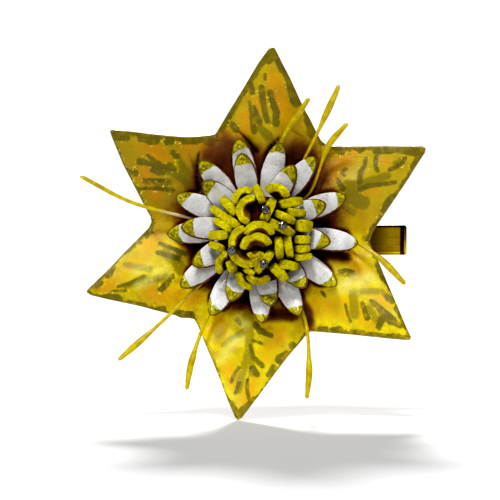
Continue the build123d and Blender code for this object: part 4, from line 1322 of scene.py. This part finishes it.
def lace_curl(points, width, sink):
    """Grid of a loop bent round on edge, leaning outwards, from the dome's face down."""
    count = 33
    plan = np.array(arc_through(points, count))
    ring = rounded_ring(width / 2, CURL_DEPTH / 2, 0.5, 3, 5)
    tangent = np.gradient(plan, axis=0)
    tangent /= np.linalg.norm(tangent, axis=1)[:, None]
    out = np.column_stack([tangent[:, 1], -tangent[:, 0]])
    if np.sum(out[count // 2] * (plan[count // 2] - plan.mean(axis=0))) < 0:
        out = -out
    lean = math.radians(CURL_LEAN)
    inset = width / 2 * math.cos(lean) - 0.9
    grid, outer, inner_shade = [], [], []
    for index, (place, away) in enumerate(zip(plan, out)):
        end = min(index, count - 1 - index) / 5.0
        drop = 0.6 * max(0.0, 1.0 - end) ** 2
        across = np.array([away[0] * math.cos(lean), away[1] * math.cos(lean), -math.sin(lean)])
        deep = np.array([away[0] * math.sin(lean), away[1] * math.sin(lean), math.cos(lean)])
        u, v = place - away * inset
        top = np.array([u, v, dome_height(u, v) - sink - drop - 0.15])
        narrow = 1.0 - 0.3 * max(0.0, 1.0 - end * 1.6)
        for a, b in ring:
            below = b - CURL_DEPTH / 2
            grid.append(top + across * a * narrow + deep * below)
            outer.append((below + 1.0) + 0.5)
            # Painted shade on the lower inside walls of the curl.
            inner_shade.append(smoothstep(-0.3, -0.9, a / (width / 2)) * smoothstep(0.0, -0.6, below))
    return np.array(grid), count, len(ring), np.array(outer), np.array(inner_shade)


def make_lace():
    """All the loops of the dome, each node one piece."""
    rng = random.Random(11)
    mats = [lace_paint()]
    order = 0
    for number, loops in enumerate(LOOP_NODES, 1):
        parts, outer_values, inner_values = [], [], []
        for points, width in loops:
            sink = 0.05 + 0.035 * order
            order += 1
            maker, extra = (lace_arch, ARCH_EXTRA) if len(points) == 2 else (lace_curl, CURL_EXTRA)
            grid, rows, columns, outer, inner_shade = maker(points, width + extra, sink)
            seed = rng.uniform(0.0, 40.0)
            grid = shaken(grid, 2.4, seed, 0.2)
            grid = shaken(grid, 0.7, seed + 5, 0.09)
            parts.append((grid, tube_faces(rows, columns)))
            outer_values.append(outer)
            inner_values.append(inner_shade)
        points, faces = joined(parts)
        # How far below the dome's face the lace lies, for the painted shade in the gaps.
        below = np.array([dome_height(u, v) - w for u, v, w in points])
        values = {
            "outer": np.concatenate(outer_values), "inner_shade": np.concatenate(inner_values),
            "deep": smoothstep(1.0, 2.8, below),
        }
        make_piece(
            f"lace_suede_{number:02d}", flower_to_row(points), faces, mats,
            [f"lace_loops_{number:02d}"], values=values, levels=1,
        )


def stamen_height(u, v, tip_r):
    """Height of a stamen's line: a gentle rise to its bend, then on up to its tip."""
    r = math.hypot(u, v)
    if r <= STAMEN_BEND_R:
        share = (r - STAMEN_FOOT_R) / (STAMEN_BEND_R - STAMEN_FOOT_R)
        return STAMEN_FOOT_W + share * (STAMEN_BEND_W - STAMEN_FOOT_W)
    share = (r - STAMEN_BEND_R) / (tip_r - STAMEN_BEND_R)
    return STAMEN_BEND_W + share * (STAMEN_TIP_W - STAMEN_BEND_W)


def make_stamens():
    """Stiff painted stems that swell to a paddle and taper to a blunt tip."""
    mats = [stamen_paint()]
    columns = 16
    for number, route in enumerate(STAMENS, 1):
        thin, low = number == THIN_STAMEN, number == LOW_STAMEN
        tip_r = math.hypot(*route[-1])
        points = []
        for u, v in route:
            dips = low and STAMEN_FOOT_R < math.hypot(u, v) < LOW_END_R
            points.append((u, v, stamen_height(u, v, tip_r) - (LOW_DROP if dips else 0.0)))
        path = resample(smooth_path(points, 24), 90)
        steps = np.hypot(*(path[1:, :2] - path[:-1, :2]).T)
        to_tip = np.concatenate([np.cumsum(steps[::-1])[::-1], [0.0]])
        swell = smoothstep(16.5, 9.0, to_tip) * (1.0 - 0.75 * smoothstep(7.5, 0.6, to_tip))
        out = smoothstep(24.0, 34.0 if low else 42.0, np.hypot(path[:, 0], path[:, 1]))
        radius = 0.5 + 0.12 * out + (0.1 if thin else 0.52) * swell
        end = np.clip(to_tip / 0.9, 0.0, 1.0)
        radius = radius * np.sqrt(np.maximum(1.0 - (1.0 - end) ** 2, 0.02))
        grid, faces = round_sweep(path, (0.0, 0.0, 1.0), radius, columns, 1.0 - 0.12 * swell)
        grid = shaken(grid, 1.8, number, 0.06)
        values = {
            "pale": np.repeat(smoothstep(26.0, 36.0, to_tip), columns) * (0.9 if thin else 0.1),
            "olive": np.repeat(swell * 0.35, columns),
        }
        make_piece(
            f"stamen_leather_{number:02d}", flower_to_row(grid), faces, mats,
            [f"stamen_{number:02d}"], values=values, levels=1,
        )


# ---- lathed pads, cups and stones ---------------------------------------------
def lathe(profile, segments, centre=(0.0, 0.0)):
    """Points and faces of a profile of (radius, height) turned about the w axis."""
    points = []
    for r, w in profile:
        for k in range(segments):
            angle = 2 * math.pi * k / segments
            points.append((centre[0] + r * math.cos(angle), centre[1] + r * math.sin(angle), w))
    return np.array(points), tube_faces(len(profile), segments)


def pad_profile(radius, low, high, corner):
    """Side of a disc with its corners rounded, with rings across its faces."""
    rings = [(r, low) for r in np.linspace(0.4, radius - corner, 9)]
    for step in range(1, 5):
        angle = math.radians(90.0 * step / 5)
        rings.append((radius - corner + corner * math.sin(angle), low + corner - corner * math.cos(angle)))
    rings += [(radius, low + corner), (radius, (low + high) / 2), (radius, high - corner)]
    for step in range(1, 5):
        angle = math.radians(90.0 * step / 5)
        rings.append((radius - corner + corner * math.cos(angle), high - corner + corner * math.sin(angle)))
    rings += [(r, high) for r in np.linspace(radius - corner, 0.4, 9)]
    return rings


def make_pad(name, node, profile, material, wobble, centre=(0.0, 0.0)):
    """A turned pad with an uneven rim, its faces moved up and down by wobble."""
    points, faces = lathe(profile, 96, centre)
    points[:, 2] += wobble * noise_at(points, 5.0, 3.0)
    outward = points[:, :2] - np.array(centre)
    reach = np.hypot(*outward.T)[:, None]
    edge = noise_at(points, 4.0, 8.0)[:, None] * 0.12 * (reach / reach.max())
    points[:, :2] += outward / reach * edge
    make_piece(name, flower_to_row(points), faces, [material], [node])


def make_pads():
    """The disc behind the star, the pad and hub under the petals, and the mound under the loops."""
    dark = raw_leather("pad_leather", (96, 72, 30), (140, 112, 54))
    glue = raw_leather("backing_leather", (92, 70, 36), (124, 100, 58))
    # Painted shade: the mound under the loops is near-black brown, for the shade in the gaps between them.
    lace = raw_leather("dome_pad_shade_leather", (56, 32, 3), (92, 56, 6), 0.0, 0.05)
    disc = pad_profile(DISC_R, -DISC_THICK, 0.0, 0.35)
    make_pad("backing_disc_leather", "backing_disc", disc, glue, 0.03)
    base = pad_profile(BASE_PAD_R, STAR_THICK, BASE_PAD_TOP_W, 0.4)
    make_pad("base_pad_leather", "base_pad", base, dark, 0.03)
    hub = [(r, BASE_PAD_TOP_W) for r in (0.4, 3.0, 5.4)]
    hub += [(5.8, 4.4), (5.8, 8.1), (9.4, 8.1), (9.8, 8.5), (9.8, 10.0)]
    hub += [(r, HUB_TOP_W) for r in (9.4, 7.0, 4.0, 0.4)]
    make_pad("centre_hub_leather", "centre_hub", hub, dark, 0.0)
    mound = pad_profile(MOUND_R, HUB_TOP_W, MOUND_EDGE_W, 0.3)[:-9]
    for r in np.linspace(MOUND_TURN_R, 0.4, 26):
        crest = dome_height(DOME_CENTRE[0] + r, DOME_CENTRE[1]) - MOUND_SINK
        mound.append((r, max(MOUND_EDGE_W, crest)))
    make_pad("loop_pad_leather", "loop_pad", mound, lace, 0.5, DOME_CENTRE)


def crystal_frame(u, v):
    """Foot, outward direction and two sideways directions of one setting."""
    base = np.array([u, v, dome_height(u, v)])
    centre = np.array([*DOME_CENTRE, DOME_TOP_W - DOME_SPHERE_R])
    outward = (base - centre) / np.linalg.norm(base - centre)
    side = np.cross((0.0, 1.0, 0.0), outward)
    side /= np.linalg.norm(side)
    return base - outward * 0.5, outward, side, np.cross(outward, side)


def placed(part, where):
    """Points and faces of a part, its own axes turned to a setting's directions and set on its foot."""
    points, faces = part
    foot, outward, side, up = where
    return foot + points[:, :1] * side + points[:, 1:2] * up + points[:, 2:] * outward, faces


def make_crystals():
    """Four cut stones, each in a cup with four prongs bent over it."""
    cup_profile = [
        (0.3, 0.0), (1.3, 0.0), (1.42, 0.12), (1.45, 0.3), (1.45, 0.62), (1.39, 0.68), (1.39, 0.78),
        (1.45, 0.84), (1.45, 1.3), (1.4, 1.44), (1.28, 1.5), (1.18, 1.46), (1.14, 1.4), (0.66, 0.52),
        (0.3, 0.5),
    ]
    cups, stones = [], []
    for u, v in CRYSTALS:
        where = crystal_frame(u, v)
        cups.append(placed(lathe(cup_profile, 40), where))
        cups += [placed(make_prong(45.0 + 90.0 * quarter), where) for quarter in range(4)]
        stones.append(placed(cut_stone(), where))
    points, faces = joined(cups)
    make_piece(
        "crystal_cups", flower_to_row(points), faces, [silver_metal()], ["crystal_settings"]
    )
    points, faces = joined(stones)
    make_piece(
        "crystal_stones", flower_to_row(points), faces, [crystal_glass()], ["crystals"],
        smooth=False,
    )


def make_prong(angle_deg):
    """A small claw on the rim, bent over the stone."""
    angle = math.radians(angle_deg)
    out = np.array([math.cos(angle), math.sin(angle), 0.0])
    up = np.array([0.0, 0.0, 1.0])
    line = [(1.42, 0.9), (1.44, 1.35), (1.3, 1.68), (0.98, 1.8)]
    path = smooth_path([out * r + up * w for r, w in line], 4)
    radius = np.linspace(0.2, 0.13, len(path))
    radius[-1] *= 0.4
    return round_sweep(path, np.cross(up, out), radius, 10)


def cut_stone():
    """A round brilliant: table, star and crown facets, girdle and a shallow pavilion."""
    rings = [
        (0.64, 0.55, 8, 0.0), (1.14, 1.42, 16, 0.0), (1.14, 1.5, 16, 0.0),
        (0.92, 1.72, 8, 0.5), (0.6, 1.86, 8, 0.0),
    ]
    points, starts = [], []
    for r, w, count, turn in rings:
        starts.append(len(points))
        for k in range(count):
            angle = 2 * math.pi * (k + turn) / count
            points.append((r * math.cos(angle), r * math.sin(angle), w))
    low, girdle, top_girdle, crown, table = starts
    faces = [tuple(low + k for k in reversed(range(8))), tuple(table + k for k in range(8))]
    for k in range(16):
        n = (k + 1) % 16
        faces.append((girdle + k, girdle + n, top_girdle + n, top_girdle + k))
    for k in range(8):
        n = (k + 1) % 8
        a, b, c = girdle + 2 * k, girdle + 2 * k + 1, girdle + (2 * k + 2) % 16
        faces += [(low + k, a, b), (low + k, b, low + n), (low + n, b, c)]
        a, b, c = top_girdle + 2 * k, top_girdle + 2 * k + 1, top_girdle + (2 * k + 2) % 16
        faces += [(a, b, crown + k), (b, c, crown + k), (crown + k, table + n, table + k)]
        faces.append((crown + k, c, crown + n, table + n))
    return np.array(points), faces


def make_spring():
    """Torsion spring round the hinge pin, in the row frame's millimetres."""
    x0, y0 = 27.0, 3.4
    coil_r, wire_r, pitch, turns = 1.9, 0.35, 0.85, 3.45
    height = turns * pitch
    start = math.radians(102.0)
    slope = pitch / (2 * math.pi * coil_r)

    def heading(angle):
        vector = np.array([-math.sin(angle), math.cos(angle), slope])
        return vector / np.linalg.norm(vector)

    def on_coil(share):
        angle = start + 2 * math.pi * turns * share
        place = (x0 + coil_r * math.cos(angle), y0 + coil_r * math.sin(angle), height * (share - 0.5))
        return np.array(place)

    first, last = on_coil(0.0), on_coil(1.0)
    path = [first - heading(start) * run for run in np.linspace(11.0, 0.4, 16)]
    path += [on_coil(share) for share in np.linspace(0.0, 1.0, 160)]
    path += [last + heading(start + 2 * math.pi * turns) * run for run in np.linspace(0.4, 9.0, 14)]
    scale = np.ones(len(path))
    scale[0] = scale[-1] = 0.8
    points, faces = round_sweep(np.array(path), (0.02, 0.03, 1.0), wire_r * scale, 14)
    obj = make_piece(
        "spring_wire", points * MM, faces, [spring_steel()], ["clip_spring"], body=None
    )
    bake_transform(obj)


def finish_clip():
    """Gold metal on the clip's own parts. Their meshes stay, under a weld and a bevel that rounds the rivet."""
    gold = gold_metal()
    for name in ("clip_top_plate", "clip_lower_jaw", "clip_hinge_pin"):
        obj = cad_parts[name]
        obj.data.materials.clear()
        obj.data.materials.append(gold)
        weld = obj.modifiers.new("Weld", "WELD")
        weld.merge_threshold = CLIP_WELD
        bevel = obj.modifiers.new("Bevel", "BEVEL")
        bevel.width = CLIP_BEVEL
        bevel.segments = 3
        bevel.limit_method = "ANGLE"
        bevel.angle_limit = math.radians(40.0)


# ---- studio -------------------------------------------------------------------
WORLD_LIGHT = 0.06
TONE_CURVE = [(0.02, 0.003), (0.06, 0.03), (0.15, 0.115), (0.45, 0.48)]
# Each sun: degrees right of the camera and up, power, and how wide it looks in degrees.
SUNS = {
    "key": (-16.0, 57.0, 2.28, 11.0),
    "gloss_high": (1.0, 31.0, 0.38, 7.0),
    "gloss_low": (-25.0, 19.5, 0.2, 7.0),
    "back": (182.0, 27.0, 5.0, 9.0),
    "fill": (35.0, 6.0, 0.1, 60.0),
}
# Metres.
FLOOR_GAP = 0.0006
FLOOR_RINGS = (0.2, 0.6, 1.6)
# Millimetres in the flower frame: what the camera looks at, and how wide its picture is.
VIEW_TARGET = (-2.7, -6.7, 6.0)
VIEW_WIDTH = 500.0 / 3.0


def sun_light(name, side_deg, up_deg, power, soft_deg):
    """Even light from one direction: degrees round to the right of the camera, and up."""
    data = bpy.data.lights.new(name, "SUN")
    data.energy = power
    data.angle = math.radians(soft_deg)
    obj = bpy.data.objects.new(name, data)
    bpy.context.scene.collection.objects.link(obj)
    side, up = math.radians(side_deg), math.radians(up_deg)
    source = Vector((math.sin(side) * math.cos(up), -math.cos(side) * math.cos(up), math.sin(up)))
    obj.location = source
    obj.rotation_euler = (-source).to_track_quat("-Z", "Y").to_euler()


def make_floor():
    """A round floor just under the lowest arm, in rings so that its triangles stay even."""
    floor_z = CAD_BOX[0][2] - FLOOR_GAP
    count = 96
    verts = [(0.0, 0.0, floor_z)]
    for radius in FLOOR_RINGS:
        for k in range(count):
            angle = 2 * math.pi * k / count
            verts.append((radius * math.cos(angle), radius * math.sin(angle), floor_z))
    faces = [(0, 1 + k, 1 + (k + 1) % count) for k in range(count)]
    for ring in range(len(FLOOR_RINGS) - 1):
        low, high = 1 + ring * count, 1 + (ring + 1) * count
        faces += [(low + k, high + k, high + (k + 1) % count, low + (k + 1) % count) for k in range(count)]
    mesh = bpy.data.meshes.new("studio_floor")
    mesh.from_pydata(verts, [], faces)
    mesh.materials.append(floor_paint())
    obj = bpy.data.objects.new("studio_floor", mesh)
    bpy.context.scene.collection.objects.link(obj)


def make_studio():
    """The floor, the lights, and a world that looks white but lights the object only a little."""
    make_floor()
    world = bpy.data.worlds.new("Studio")
    bpy.context.scene.world = world
    world.use_nodes = True
    tree = world.node_tree
    background = tree.nodes["Background"]
    background.inputs["Color"].default_value = (1.0, 1.0, 1.0, 1.0)
    seen = tree.nodes.new("ShaderNodeLightPath").outputs["Is Camera Ray"]
    strength = tree.nodes.new("ShaderNodeMath")
    strength.operation = "MULTIPLY_ADD"
    tree.links.new(seen, strength.inputs[0])
    strength.inputs[1].default_value = 1.0
    strength.inputs[2].default_value = WORLD_LIGHT
    tree.links.new(strength.outputs[0], background.inputs["Strength"])
    for name, sun in SUNS.items():
        sun_light(name, *sun)


def make_camera():
    """A long lens square on to the flower and a touch above it, with VIEW_WIDTH across the picture."""
    data = bpy.data.cameras.new("camera")
    data.lens = 200.0
    data.sensor_width = 36.0
    data.clip_start = 0.01
    data.clip_end = 20.0
    obj = bpy.data.objects.new("camera", data)
    bpy.context.scene.collection.objects.link(obj)
    distance = VIEW_WIDTH * MM * data.lens / data.sensor_width
    elevation = math.radians(1.0)
    target = Vector(flower_to_row(VIEW_TARGET)[0])
    obj.location = target + Vector((0.0, -math.cos(elevation), math.sin(elevation))) * distance
    obj.rotation_euler = (target - obj.location).to_track_quat("-Z", "Y").to_euler()
    bpy.context.scene.camera = obj


make_star()
make_petals()
make_pads()
make_lace()
make_stamens()
make_crystals()
make_spring()
finish_clip()
make_studio()
make_camera()
scene = bpy.context.scene
scene.view_settings.view_transform = "Standard"
scene.view_settings.look = "None"
scene.view_settings.use_curve_mapping = True
contrast = scene.view_settings.curve_mapping.curves[3]
for level, shown in TONE_CURVE:
    contrast.points.new(level, shown)
scene.view_settings.curve_mapping.update()
